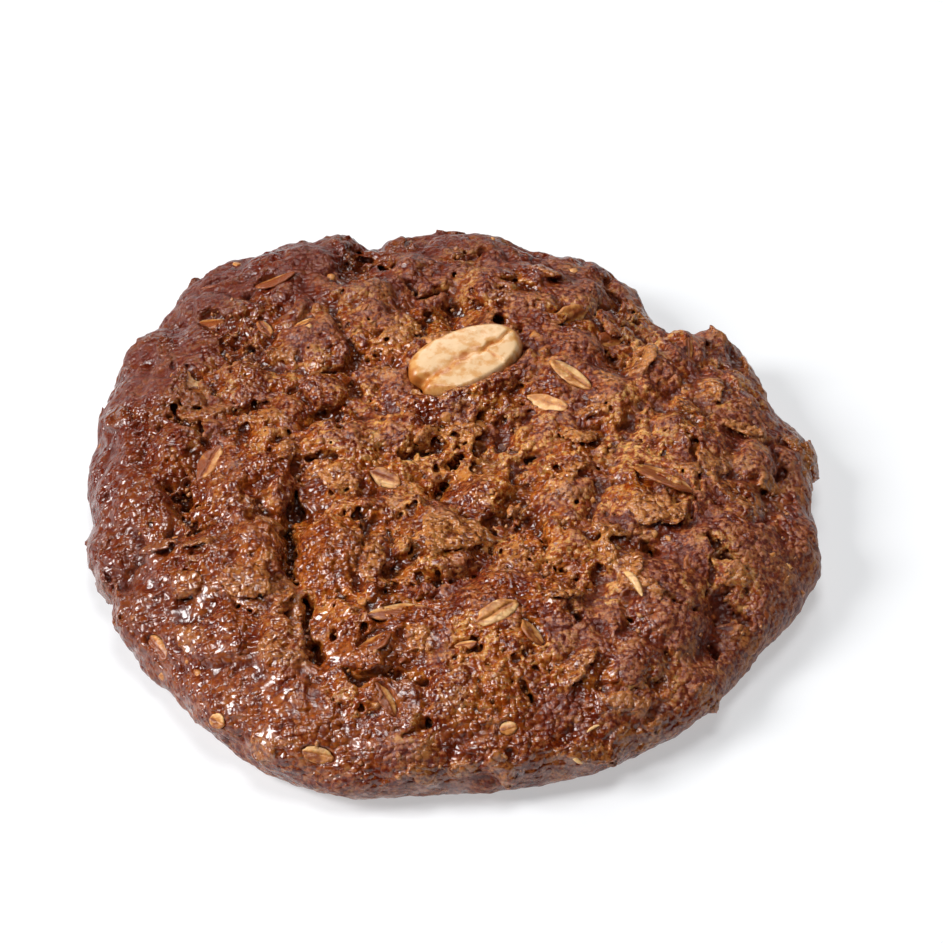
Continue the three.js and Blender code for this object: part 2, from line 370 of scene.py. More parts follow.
def pillow(outline, shares, heights):
    """A closed form in rings: the outline at each share of its size and each height, from the top's middle to
    the underside's. Returns points and triangles."""
    steps = len(outline)
    rings = [np.column_stack([outline * size, np.full(steps, z)]) for size, z in zip(shares, heights)]
    points = np.concatenate([[[0, 0, heights[0]]], *rings[1:-1], [[0, 0, heights[-1]]]])
    faces = []
    here = np.arange(steps)
    beyond = (here + 1) % steps
    last = len(points) - 1
    for ring in range(len(rings) - 3):
        a, b = 1 + ring * steps, 1 + (ring + 1) * steps
        faces.append(np.column_stack([a + here, b + here, b + beyond]))
        faces.append(np.column_stack([a + here, b + beyond, a + beyond]))
    top = np.column_stack([np.zeros(steps, int), 1 + here, 1 + beyond])
    a = last - steps
    foot = np.column_stack([np.full(steps, last), a + beyond, a + here])
    return points, np.concatenate([top, *faces, foot])


def turned(points, along, up, at):
    """The points with their x along one direction and their z up another, moved to a place."""
    z = np.asarray(up, float) / np.linalg.norm(up)
    x = np.asarray(along, float) - z * np.dot(along, z)
    x /= np.linalg.norm(x)
    return points @ np.stack([x, np.cross(z, x), z]) + at


def leaned(up, along, degrees):
    """The up direction, leaned about the along direction, so that the side to its left is lifted."""
    along = np.asarray(along, float) / np.linalg.norm(along)
    lean = math.radians(degrees)
    return np.asarray(up) * math.cos(lean) + np.cross(along, up) * -math.sin(lean)


class Heap:
    """Small shapes that are gathered into one mesh."""

    def __init__(self):
        self.points, self.faces, self.measures, self.count = [], [], {}, 0

    def add(self, points, faces, **measures):
        """Puts one more shape on the heap."""
        self.points.append(points)
        self.faces.append(faces + self.count)
        self.count += len(points)
        for name, values in measures.items():
            self.measures.setdefault(name, []).append(np.broadcast_to(values, len(points)))

    def piece(self, name, material):
        """The whole heap as one object."""
        measures = {key: np.concatenate(values) for key, values in self.measures.items()}
        return make_piece(name, np.concatenate(self.points), np.concatenate(self.faces), material, **measures)


class Crust:
    """The finished dough, for laying things on."""

    def __init__(self, dough, depth):
        self.tree = BVHTree.FromObject(dough, bpy.context.evaluated_depsgraph_get())
        self.depth = depth

    def spot(self, x, y, z=None):
        """The point of the crust under x and y, or nearest to x, y and z, and the way up from it."""
        if z is None:
            hit = self.tree.ray_cast(Vector((x * MM, y * MM, 0.05)), Vector((0, 0, -1)))[0]
            if hit is None:
                hit = self.tree.find_nearest(Vector((x * MM, y * MM, 0.006)))[0]
        else:
            hit = self.tree.find_nearest(Vector((x * MM, y * MM, z * MM)))[0]
        point = np.array(hit) / MM
        return point, self.depth.slope(point[None].astype(np.float32))[0]


# ----------------------------------------------------------------------------------------------------
# Where things are on this cookie. All in mm, seen from above, with x to the right and y to the back.

# The half peanut.
NUT_LENGTH, NUT_WIDTH, NUT_HEIGHT = 16.2, 9.2, 4.8
NUT_FACE_SHARE = 0.4  # of its height that is above its widest line
NUT_TURN = math.radians(31)  # from x to its length
NUT_ALONG = np.array((math.cos(NUT_TURN), math.sin(NUT_TURN)))
NUT_ACROSS = np.array((-math.sin(NUT_TURN), math.cos(NUT_TURN)))
NUT_LEAN = {"nose": 2, "side": 9}  # degrees

# Narrow splits between the lumps: a route, its half width and its depth.
CREVICES = (
    (((-34.4, -2.4), (-34.0, -5.6), (-34.6, -8.0), (-32.4, -11.4), (-29.2, -11.6)), 0.8, 2.6),
    (
        ((-19.7, -3.5), (-19.6, -8.0), (-21.0, -11.8), (-20.3, -16.9), (-20.6, -19.9), (-17.8, -24.1)),
        0.85,
        3.0,
    ),
    (((-17.8, -24.1), (-18.5, -29.5), (-16.3, -35.1)), 0.8, 2.6),
    (((-22.6, -26.6), (-20.6, -27.6), (-18.4, -29.3)), 0.45, 1.6),
    (((-14.7, -34.6), (-11.9, -38.3), (-6.6, -37.5), (-2.7, -38.4), (-0.9, -36.9)), 0.6, 2.2),
    (((3.6, 3.4), (2.6, 1.6), (0.1, -0.5), (-0.2, -3.5)), 0.7, 2.4),
    (((-36.5, 7.8), (-33.5, 9.2), (-30.6, 11.6)), 0.5, 2.4),
    (((-6.2, 33.8), (-3.5, 30.8), (0.2, 32.4)), 0.8, 2.6),
    (((1.6, 38.0), (4.9, 40.6)), 0.6, 2.0),
    (((4.9, 26.4), (5.7, 24.1), (9.2, 22.7)), 0.8, 2.6),
    (((32.4, -28.0), (33.2, -30.4)), 0.7, 2.0),
    (((-4.9, -10.9), (-2.0, -8.1)), 0.4, 1.6),
    (((-6.5, -19.4), (-4.4, -21.5), (-1.7, -22.1), (0.1, -21.4), (3.3, -20.1), (4.3, -18.3)), 0.5, 2.0),
    (((4.3, -18.3), (6.0, -13.7), (4.7, -11.2)), 0.45, 1.8),
    (((32.4, -14.6), (34.6, -16.8), (36.8, -17.1)), 0.7, 2.4),
    (((24.6, -15.4), (26.4, -16.9)), 0.7, 2.2),
    (((9.2, -38.4), (10.0, -40.8)), 0.5, 2.0),
    (((-9.3, 43.0), (-9.1, 39.6), (-8.0, 36.6)), 0.9, 2.6),
    (((19.8, 29.6), (21.6, 30.6)), 0.8, 2.6),
    (((27.6, 24.6), (24.2, 20.9), (22.0, 16.8)), 0.6, 1.8),
    (((9.8, -10.6), (11.4, -14.6), (12.2, -18.6), (15.6, -21.6)), 0.6, 2.0),
    (((24.4, -23.4), (29.6, -25.9), (36.0, -24.2)), 0.45, 1.8),
    (((40.4, -4.4), (42.9, 0.6), (42.0, 4.4)), 0.6, 1.8),
    (((30.0, -12.6), (31.9, -6.4), (31.2, 2.6)), 0.35, 1.3),
    (((-43.0, 33.0), (-36.2, 28.4), (-28.2, 25.6)), 0.5, 1.6),
)

# Open pits: x, y, a height or None for the top, and a radius.
PITS = (
    (-44.8, -3.8, 9.7, 1.0),
    (-43.4, -16.0, 7.3, 1.1),
    (-35.2, -5.2, None, 1.1),
    (-32.6, -11.2, None, 1.0),
    (-20.2, -17.6, None, 1.1),
    (-16.7, -34.0, None, 0.9),
    (-14.7, -31.2, None, 0.8),
    (-6.6, -37.6, None, 1.0),
    (-2.9, -43.7, None, 0.9),
    (7.1, -47.5, 8.3, 1.0),
    (-14.2, 3.8, None, 0.9),
    (8.3, 1.1, None, 0.9),
    (15.8, -28.3, None, 1.0),
    (25.4, -16.2, None, 1.0),
    (34.6, -16.6, None, 1.0),
    (42.9, 0.6, None, 0.9),
    (37.1, -24.6, None, 0.9),
    (-25.6, 9.0, None, 0.9),
    (-27.0, 31.0, None, 1.0),
    (20.6, 30.2, None, 1.2),
    (30.3, -11.9, None, 0.6),
    (31.7, -6.0, None, 0.6),
    (31.2, 2.2, None, 0.6),
    (24.8, -24.5, None, 0.7),
    (-26.0, -42.8, 5.2, 0.7),
    (6.6, 24.0, None, 1.1),
    (-2.4, -21.6, None, 0.8),
)

# Where the glaze shines: strokes from one spot to another, with a width.
GLAZE_STROKES = (
    (-44.6, -9.1, -37.7, -16.4, 3.5),
    (-41.8, -21.3, -39.0, -26.1, 3.2),
    (-37.5, -23.1, -33.0, -29.9, 3.2),
    (-28.8, -33.2, -23.6, -37.1, 3.6),
    (-29.7, -35.9, -23.4, -40.2, 3.6),
    (-23.4, -40.2, -13.4, -45.7, 3.6),
    (-9.0, -40.6, -5.7, -42.3, 2.6),
    (-41.7, 5.0, -44.1, 0.1, 2.6),
)

# Oat flakes that show: from one end to the other, a width, how far the left edge is lifted in degrees, how
# far the middle is sunk, how toasted it is from 0 to 1, and how far past its middle line it is bare, as a
# share of half its width. The rest is under the skin.
OATS = (
    (13.0, 15.9, 18.4, 11.0, 2.8, 8, 0.05, 0.02, 1.0),
    (10.0, 10.2, 15.3, 7.7, 2.3, -8, 0.0, 0.0, 1.0),
    (14.0, 23.4, 18.4, 27.5, 3.4, -36, 0.55, 0.05, 0.1),
    (12.5, 25.2, 16.7, 29.3, 2.5, -30, 0.6, 0.6, 0.0),
    (-34.8, 17.6, -34.3, 10.4, 4.5, 24, 0.45, 0.1, 0.1),
    (-33.8, 27.3, -30.0, 26.7, 2.4, 22, 0.3, 0.3, 0.3),
    (-33.6, 35.8, -28.8, 36.2, 2.9, 26, 0.45, 0.6, 0.1),
    (-26.4, 32.6, -20.8, 34.4, 3.4, 22, 0.45, 0.5, 0.1),
    (-20.8, 23.3, -18.0, 24.9, 1.5, 18, 0.2, 0.15, 0.6),
    (-25.4, 26.2, -23.7, 22.6, 1.8, 20, 0.3, 0.4, 0.3),
    (3.1, -31.1, 8.3, -27.4, 2.7, -15, -0.1, 0.05, 1.2),
    (8.8, -29.7, 11.5, -33.3, 2.7, 22, 0.2, 0.25, 0.6),
    (-10.6, -29.0, -2.7, -27.2, 3.2, 12, 0.25, 0.3, 0.4),
    (-11.6, -34.6, -7.6, -31.4, 3.9, 24, 0.45, 0.5, 0.0),
    (-10.3, -3.6, -6.5, -5.3, 2.7, -18, 0.2, 0.1, 0.5),
    (23.6, -2.8, 30.9, -7.8, 5.0, 26, 0.5, 0.3, -0.15),
    (30.9, -16.6, 31.9, -22.3, 4.4, 26, 0.45, 0.35, -0.5),
    (31.5, 22.2, 31.6, 18.6, 1.5, 24, 0.2, 0.35, 0.6),
    (-29.6, 2.0, -32.6, -3.8, 2.5, 26, 0.4, 0.4, 0.2),
    (-18.4, -46.4, -14.4, -48.0, 2.0, 14, 0.25, 0.1, 0.4),
    (-9.2, -39.0, -6.9, -43.6, 2.0, 14, 0.15, 0.3, 0.3),
    (6.2, 32.4, 12.8, 29.8, 3.5, 24, 0.5, 0.8, 0.1),
    (-38.0, -26.7, -36.0, -30.5, 2.4, 18, 0.35, 0.5, 0.4),
    (-30.0, -40.2, -28.0, -41.4, 1.9, 6, 0.15, 0.2, 0.7),
    (0.3, -33.7, 3.3, -33.4, 1.3, 14, 0.15, 0.2, 0.6),
    (5.8, -44.8, 8.1, -44.2, 1.7, 6, 0.0, 0.2, 1.2),
    (22.6, 26.4, 26.8, 24.2, 2.7, 24, 0.45, 0.6, 0.1),
    (19.6, 21.6, 23.2, 24.0, 2.7, -22, 0.4, 0.5, 0.1),
)

# Bits of peanut and oat in the crust: x, y, a height or None, a size and how toasted.
CHIPS = (
    (-6.3, 6.7, None, 1.9, 0.25),
    (-0.6, 6.4, None, 2.6, 0.4),
    (4.2, 5.9, None, 2.6, 0.45),
    (25.7, -14.6, None, 1.5, 0.2),
    (27.6, -15.0, None, 1.2, 0.3),
    (21.4, -16.5, None, 1.4, 0.3),
    (40.8, -15.5, None, 1.4, 0.3),
    (9.8, -21.7, None, 1.5, 0.3),
    (15.4, -20.4, None, 2.2, 0.7),
    (26.6, -10.8, None, 1.4, 0.3),
    (35.5, -9.7, None, 1.3, 0.3),
    (17.9, -8.4, None, 1.3, 0.3),
    (43.0, -16.1, 8.5, 1.5, 0.3),
    (44.9, -18.1, 5.6, 2.0, 0.6),
    (6.5, -44.4, 9.6, 1.6, 0.4),
    (16.7, 37.9, None, 1.8, 0.3),
    (-28.9, 40.4, None, 2.2, 0.3),
    (-11.1, -26.3, None, 1.9, 0.45),
    (-34.9, -12.5, None, 1.6, 0.5),
    (-31.7, -33.8, None, 2.0, 0.45),
    (-36.5, -31.2, 4.4, 1.7, 0.4),
    (-20.5, -45.8, None, 1.8, 0.5),
    (-16.1, 35.2, None, 1.7, 0.4),
    (-19.4, 23.6, None, 1.9, 0.3),
    (-18.7, 21.8, None, 1.6, 0.1),
    (31.1, 12.5, None, 2.2, 0.4),
    (-7.3, 23.7, None, 2.6, 0.5),
    (-3.0, 19.8, None, 2.4, 0.45),
    (11.0, 21.1, None, 2.8, 0.6),
    (25.0, 19.2, None, 2.4, 0.55),
)

# Large flakes under the skin: from one end to the other, a width, and the left edge's lift in degrees.
PLATES = (
    (-7.4, -16.6, 5.0, -13.8, 7.4, -12),
    (22.4, -10.2, 29.6, -12.4, 6.4, 10),
    (-2.0, 5.0, 4.6, 5.0, 4.8, 14),
    (13.6, 3.6, 19.0, 2.0, 5.0, 16),
    (-14.6, -15.6, -8.6, -21.0, 6.0, -14),
    (-35.4, 16.0, -33.0, 8.0, 5.4, 20),
    (31.6, 0.6, 36.0, -2.6, 4.6, 18),
    (-17.6, -2.4, -12.0, -6.8, 5.2, 16),
    (10.6, 36.4, 16.4, 33.0, 5.0, 18),
    (-29.4, -22.6, -22.4, -24.6, 5.4, 14),
    (-4.6, 22.4, -9.4, 18.4, 5.0, 18),
    (23.0, 14.6, 27.4, 19.4, 5.0, 16),
)

# Parts of the crust that differ: x, y, a radius, how much further broken open it is there (whole skin is
# negative), and how much paler.
OPENED, PALER = 3, 4  # columns of the table
PATCHES = (
    (16.2, 12.5, 6.0, -1.3, -0.3),
    (14.7, 38.7, 8.0, -1.0, -0.1),
    (-24.3, 35.9, 8.0, -0.9, -0.1),
    (-39.8, 19.6, 6.0, -1.0, -0.2),
    (-43.5, 1.8, 6.0, -1.0, -0.2),
    (-23.7, -5.0, 6.0, -0.6, 0.1),
    (43.4, 3.5, 6.0, -0.4, 0.3),
    (24.4, 2.1, 8.0, -0.1, 0.5),
    (31.2, -29.6, 8.0, -0.5, -0.2),
    (2.4, -21.8, 5.0, -0.6, 0.3),
    (11.9, -14.4, 4.0, 0.0, -0.8),
    (25.2, 25.7, 5.0, 1.0, 0.5),
    (24.9, 18.6, 3.0, 0.9, 0.5),
    (-5.4, 22.3, 2.0, 0.8, 0.8),
    (-12.7, -0.3, 3.5, 0.5, 0.6),
    (-28.0, 24.7, 4.0, 0.5, 0.6),
    (-21.1, 15.0, 5.0, 0.5, 0.3),
    (20.2, -23.3, 3.0, 0.8, 0.7),
    (10.2, -0.2, 5.0, 0.7, 0.5),
    (-9.8, 3.5, 3.0, 0.4, 0.6),
    (-1.5, -14.0, 8.0, 0.0, 0.6),
)

# Splinters of husk: points along each, with a height or None, and a thickness.
SPLINTERS = (
    (((21.8, -21.8, None), (22.9, -23.4, None), (23.9, -25.5, None)), 1.0),
    (((16.6, -44.0, 8.0), (17.4, -43.4, 8.2), (18.1, -43.1, 8.3)), 0.4),
    (((14.3, -45.2, 7.4), (15.2, -46.0, 6.6), (16.0, -47.1, 5.6)), 0.6),
)


# ----------------------------------------------------------------------------------------------------
# The dough's form.


def line_distance(points, ends):
    """Distance of each point to a route, and how far along the route it is from 0 to 1. Works in 2 or 3
    dimensions."""
    ends = np.asarray(ends, np.float32)
    near = np.full(len(points), FAR, np.float32)
    along = np.zeros(len(points), np.float32)
    for step, (a, b) in enumerate(itertools.pairwise(ends)):
        share = np.clip(((points - a) @ (b - a)) / ((b - a) @ (b - a)), 0, 1)
        gap = np.linalg.norm(points - a - share[:, None] * (b - a), axis=1)
        closer = gap < near
        near = np.where(closer, gap, near)
        along = np.where(closer, (step + share) / (len(ends) - 1), along)
    return near, along


def glaze_amount(points):
    """How thick the shining glaze is, from 0 to 1."""
    wavy = drift(points, 3.0, 1.2, 51)[:, :2]
    shine = np.zeros(len(points), np.float32)
    for x0, y0, x1, y1, width in GLAZE_STROKES:
        gap, _ = line_distance(wavy, ((x0, y0), (x1, y1)))
        shine = np.maximum(shine, ease_between(width - gap, 0, 0.7 * width))
    front_left = ease_between(-points[:, 0] - points[:, 1], 14, 46)
    patches = ease_between(noise(points, 5.5, 55) + 0.5 * noise(points, 2.1, 56), -0.35, 0.45)
    return np.clip(np.maximum(shine, 0.75 * front_left * patches), 0, 1)


def shine_amount(points, glaze):
    """How much of the light the glaze throws back, in patches, from 0 to 1."""
    patches = noise(points, 3.0, 58) + 0.7 * noise(points, 1.1, 59)
    return ease_between(glaze, 0.1, 0.6) * ease_between(patches, 0.0, 0.3)


def patch_amount(points, column):
    """How much more open, or paler, the patches make the crust: column is OPENED or PALER."""
    amount = np.zeros(len(points), np.float32)
    wavy = drift(points, 4.0, 1.5, 57)
    for patch in PATCHES:
        x, y, radius = patch[:3]
        amount += patch[column] * np.exp(-(((wavy[:, 0] - x) ** 2 + (wavy[:, 1] - y) ** 2) / radius**2) ** 2)
    return amount


def crumb_amount(points, sunk, glaze):
    """How far the skin has broken open to the crumb, from 0 to 1. sunk is the depth below the smooth crust in
    mm."""
    patches = noise(points, 8.0, 61) + 0.7 * noise(points, 3.2, 62) + 0.35 * noise(points, 1.3, 63)
    middle = np.exp(-((points[:, 0] - 4) ** 2 + (points[:, 1] + 2) ** 2) / 26**2)
    side = ease_between(points[:, 2], 11.5, 6.0)
    score = patches + patch_amount(points, OPENED) + 0.5 * middle + 1.0 * np.clip(sunk - 0.2, -0.7, 1.4)
    score = score - 0.3 * glaze - 0.8 * side - 0.05
    return ease_between(score, -0.3, 0.7)


def out_share(points):
    """How far out each point is, from 0 at the cookie's middle to about 1 at its rim."""
    return np.hypot(points[:, 0] / HALF_WIDTH, points[:, 1] / HALF_DEPTH)


def nut_place(points):
    """Where points are along and across the half peanut, from its middle."""
    low, high = box_of(PEANUT_NODE)
    return (points[:, :2] - (low + high)[:2] / 2) @ np.array((NUT_ALONG, NUT_ACROSS)).T


def browned_amount(points):
    """How far the oven has darkened the crust: 0 in the middle, up to 1 at the rim, most at the back left."""
    x, y, _ = points.T
    out = out_share(points) + 0.07 * noise(points, 9.0, 97)
    side = ease_between(0.6 * y - 0.8 * x, -12, 36) * ease_between(out, 0.15, 0.9)
    return 0.35 * ease_between(out, 0.6, 1.0) + 0.65 * side


def dry_amount(points, glaze, crumb):
    """How dry and dull the crust is, from 0 where it is sticky with syrup to 1."""
    right = ease_between(points[:, 0] + 0.3 * points[:, 1], -12, 30)
    back = ease_between(points[:, 1] - 0.3 * points[:, 0], 0, 34)
    patches = noise(points, 7.0, 98) + 0.6 * noise(points, 2.6, 99)
    dry = 0.42 + 0.35 * np.maximum(right, 0.9 * back) + 0.5 * patches
    return np.clip(dry - 0.7 * glaze - 0.3 * crumb * (1 - 0.5 * right), 0, 1)


def lump_shade(points):
    """A random number from 0 to 1 for each of the small lumps, blurred a little where they meet."""
    near, second, tag = cells(drift(points, 3.0, 1.4, 111), 4.4, 114)
    return 0.5 + (tag - 0.5) * ease_between(second - near, 0, 0.6)


def lump_form(points, depth, settings):
    """The smooth crust's depth with lumps, gaping seams, crevices and pits added."""
    size = settings.lump_size / MM
    loose = drift(points, size * 0.9, size * 0.2, 11)
    near, second, _ = cells(loose, size, 21)
    border = (second - near) / 2
    gape = ease_between(noise(points, 9.0, 22) + 0.4 * noise(points, 3.0, 26), -0.05, 0.55)
    swell = 0.5 * np.clip(1 - (near / (0.62 * size)) ** 2, 0, 1)
    seam = (1 - ease_between(border, 0, 0.14 * size)) * (0.3 + 1.3 * gape)
    rough = drift(points, 2.6, 0.7, 14)
    near, second, tag = cells(rough, size * 0.42, 23)
    knob = 0.32 * np.clip(1 - (near / (0.26 * size)) ** 2, -0.4, 1) * (0.4 + tag)
    cleft = 0.45 * (1 - ease_between(second - near, 0, 0.9)) * ease_between(noise(points, 6.0, 25), -0.3, 0.4)
    rugged = 0.28 * noise(points, 2.6, 24)
    rugged *= settings.relief * (1 - 0.3 * glaze_amount(points))
    relief = settings.relief * (0.12 + swell + knob - 0.28) + rugged - seam - cleft
    calm = 0.15 + 0.85 * ease_between(points[:, 2], 0.4, 3.2)
    calm *= 1 - 0.5 * ease_between(out_share(points), 0.84, 0.97)
    calm *= 1 - 0.5 * ease_between(0.7 * points[:, 0] - 0.7 * points[:, 1], 8, 26)
    field = depth - relief * calm
    x, y = nut_place(points).T
    off_nut = (np.hypot(x / NUT_LENGTH, y / NUT_WIDTH) * 2 - 1) * NUT_WIDTH / 2
    field -= settings.collar / MM * ease_between(off_nut, 3.2, 0.8) * ease_between(points[:, 2], 8.0, 11.0)
    ragged = drift(points, 2.2, 0.6, 31) + 0.35 * (drift(points, 0.9, 1.0, 34) - points)
    top = points[:, 2] > 4
    for route, half_width, reach in CREVICES:
        flat = np.asarray(route, np.float32)
        close = top & (np.abs(points[:, :2] - flat.mean(0)) < np.ptp(flat, axis=0) / 2 + 4).all(1)
        gap, along = line_distance(ragged[close][:, :2], flat)
        taper = np.sqrt(np.clip(np.minimum(along, 1 - along) * 5, 0.15, 1))
        sunk = np.clip(-depth[close] / reach, -1, 1)
        cut = gap - half_width * taper * (1.1 - 0.8 * sunk) + np.clip(sunk - 0.9, 0, 1) * 9
        field[close] = carve(field[close], cut, 0.35)
    for x, y, z, radius in PITS:
        across = np.linalg.norm(ragged[:, :2] - np.float32((x, y)), axis=1)
        close = (across < 3) & (top if z is None else np.abs(points[:, 2] - z) < 3)
        if z is None:
            cut = np.hypot(across[close], (depth[close] + 0.5 * radius) * 0.7) - radius
        else:
            cut = np.linalg.norm(ragged[close] - np.float32((x, y, z)), axis=1) - radius
        field[close] = carve(field[close], cut, 0.3)
    return field


def top_of(block, x, y):
    """The highest point of a block's surface over x and y."""
    zs = np.arange(block.low[2] + block.pitch * (block.values.shape[2] - 2), 0, -0.1)
    column = np.column_stack([np.full(len(zs), x), np.full(len(zs), y), zs]).astype(np.float32)
    inside = np.flatnonzero(block.at(column) < 0)
    return column[inside[0]] if len(inside) else np.float32((x, y, 1))


def shown_oats(depth, form, settings):
    """The oat flakes that show: a middle, three axes, three half sizes, how toasted, which side is lifted and
    how far past its middle it is bare, for each."""
    flakes = []
    for *ends, width, lift, sunk, toast, bare in OATS:
        flake = laid_flat(depth, form, ends, width, settings.thickness / MM, lift, sunk)
        flakes.append((*flake, toast, 1 if lift > 0 else -1, bare))
    return flakes


def laid_flat(depth, form, ends, width, thickness, lift, sunk):
    """The middle, axes and half sizes of a flake that is laid on the crust from one end to the other."""
    x0, y0, x1, y1 = ends
    spot = top_of(form, (x0 + x1) / 2, (y0 + y1) / 2)
    up = depth.slope(spot[None])[0]
    along = np.array((x1 - x0, y1 - y0, 0.0))
    half = np.array((np.linalg.norm(along), width, thickness)) / 2
    along -= up * np.dot(along, up)
    along /= np.linalg.norm(along)
    up = leaned(up, along, lift)
    return spot - up * sunk, np.stack([along, np.cross(up, along), up]), half


def buried_oats(depth, form, shown, count):
    """Oat flakes under the skin, clear of the ones that show: a middle, three axes and three half sizes."""
    rng = np.random.default_rng(17)
    flakes = [laid_flat(depth, form, ends, width, 1.0, lift, -0.05) for *ends, width, lift in PLATES]
    low, high = (-HALF_WIDTH, -HALF_DEPTH, 3), (HALF_WIDTH, HALF_DEPTH, 14.5)
    spots = rng.uniform(low, high, (9000, 3)).astype(np.float32)
    gap = depth.at(spots)
    spots = spots[np.abs(gap) < 0.35]
    for middle, *_ in shown:
        spots = spots[np.linalg.norm(spots - middle, axis=1) > 5]
    spots = spots[:count]
    ups = depth.slope(spots)
    for spot, up in zip(spots, ups):
        flat = up[2] > 0.9
        along = np.cross(up, rng.normal(size=3))
        up = leaned(up, along, (rng.uniform(8, 28) if flat else 3) * rng.choice((-1, 1)))
        along = np.cross(up, np.cross(along, up))
        along /= np.linalg.norm(along)
        axes = np.stack([along, np.cross(up, along), up])
        half = np.array((rng.uniform(1.8, 3.6), rng.uniform(1.1, 2.0), rng.uniform(0.3, 0.5)))
        flakes.append((spot + up * rng.uniform(-0.5, 0.1 if flat else -0.4), axes, half))
    return flakes


def flakes_near(points, flakes):
    """Each flake that is near any of the points: which points are close to it, where they are along its axes,
    its half sizes, and whatever else is kept with it."""
    low, high = points.min(0), points.max(0)
    for middle, axes, half, *rest in flakes:
        reach = half[0] + 1
        if (middle < low - reach).any() or (middle > high + reach).any():
            continue
        close = np.flatnonzero((np.abs(points - middle) < reach).all(1))
        yield close, (points[close] - middle) @ axes.T, half, rest


def oval_distance(local, half):
    """About how far points are from an oval form with these half sizes, below 0 inside it."""
    share = np.linalg.norm(local / half, axis=1)
    steep = np.linalg.norm(local / half**2, axis=1) + 1e-6
    return share * (share - 1) / steep


def oat_distance(points, flakes):
    """About how far each point is from the nearest buried flake, below 0 inside it."""
    near = np.full(len(points), FAR, np.float32)
    for close, local, half, _ in flakes_near(drift(points, 1.6, 0.25, 71), flakes):
        near[close] = np.minimum(near[close], oval_distance(local, half))
    return near


def bed_distance(points, shown):
    """About how far each point is from the beds that the shown flakes lie in, open to the outside."""
    near = np.full(len(points), FAR, np.float32)
    for close, local, half, (_, side, bare) in flakes_near(points, shown):
        covered = -bare * half[1] - local[:, 1] * side + 0.3 * noise(points[close], 1.4, 72)
        local[:, 2] *= np.where(local[:, 2] > 0, 0.15, 1)
        near[close] = np.minimum(near[close], np.maximum(oval_distance(local, half + 0.1), covered))
    return near


def grain_form(points, field, depth, flakes, shown):
    """The field with buried oats, granules, pores and wrinkles added, and beds for the flakes that show."""
    glaze = glaze_amount(points)
    crumb = crumb_amount(points, -depth, glaze)
    field = join_on(field, oat_distance(points, flakes), 0.25)
    calm = ease_between(points[:, 2], 0.1, 1.2)
    near, second, tag = cells(drift(points, 1.8, 0.5, 74), 1.9, 77)
    granule = (0.3 + 0.7 * tag) * (0.42 - (near / 1.5) ** 2)
    granule = granule + 0.12 * ease_between(second - near, 0, 0.5) - 0.05
    near, _, tag = cells(drift(points, 1.0, 0.45, 81), 1.7, 84)
    radius = (1.1 * tag - 0.3) * (0.3 + 0.7 * crumb) * (1 - 0.6 * glaze)
    wrinkle = 0.1 * noise(points, 1.9, 85) + 0.13 * noise(points, 0.9, 86)
    field = field - calm * (granule * (0.2 + 0.8 * crumb) * (1 - 0.3 * glaze) + wrinkle)
    field = carve(field, np.where(calm > 0.5, near - radius, FAR), 0.14)
    return carve(field, bed_distance(points, shown), 0.12)


def knead(settings, oats):
    """Works out the dough's surface. Returns the smoothed solid's depth, the flakes that are buried and the
    ones that show, and points and faces."""
    pitch = settings.grain_pitch / MM
    depth = distance_to(DOUGH_NODE, 3.2, 4 * pitch).finer().softer(3)
    nut = distance_to(PEANUT_NODE, 1.5, 2 * pitch)

    form = Block(depth.low, depth.pitch, depth.values.copy())
    chosen = (form.values > -4.6) & (form.values < 2.6)
    form.values[chosen] = in_batches(lump_form, (form.points(chosen), form.values[chosen]), settings)
    shown = shown_oats(depth, form, oats)
    flakes = buried_oats(depth, form, shown, settings.buried_oats)

    fine = form.finer()
    chosen = np.abs(fine.values) < 0.9
    points = fine.points(chosen)
    near = in_batches(depth.at, (points,))
    fine.values[chosen] = in_batches(grain_form, (points, fine.values[chosen], near), flakes, shown)

    zs = fine.low[2] + np.arange(fine.values.shape[2]) * fine.pitch
    fine.values = np.maximum(fine.values, -zs[None, None, :]).astype(np.float32)
    near_nut = np.zeros(fine.values.shape, bool)
    start = np.floor((nut.low - fine.low) / fine.pitch).astype(int) + 1
    stop = start + 2 * (np.array(nut.values.shape) - 1) - 2
    near_nut[tuple(slice(a, b) for a, b in zip(start, stop))] = True
    points = fine.points(near_nut)
    fine.values[near_nut] = carve(fine.values[near_nut], nut.at(points) - 0.12, 0.1)
    for axis in range(3):
        edge = np.moveaxis(fine.values, axis, 0)
        edge[0], edge[-1] = 1, 1
    fine.values = without_pinches(fine.values)
    return depth, flakes, shown, *largest_piece(*skin_of(fine))


# ----------------------------------------------------------------------------------------------------
# Materials.


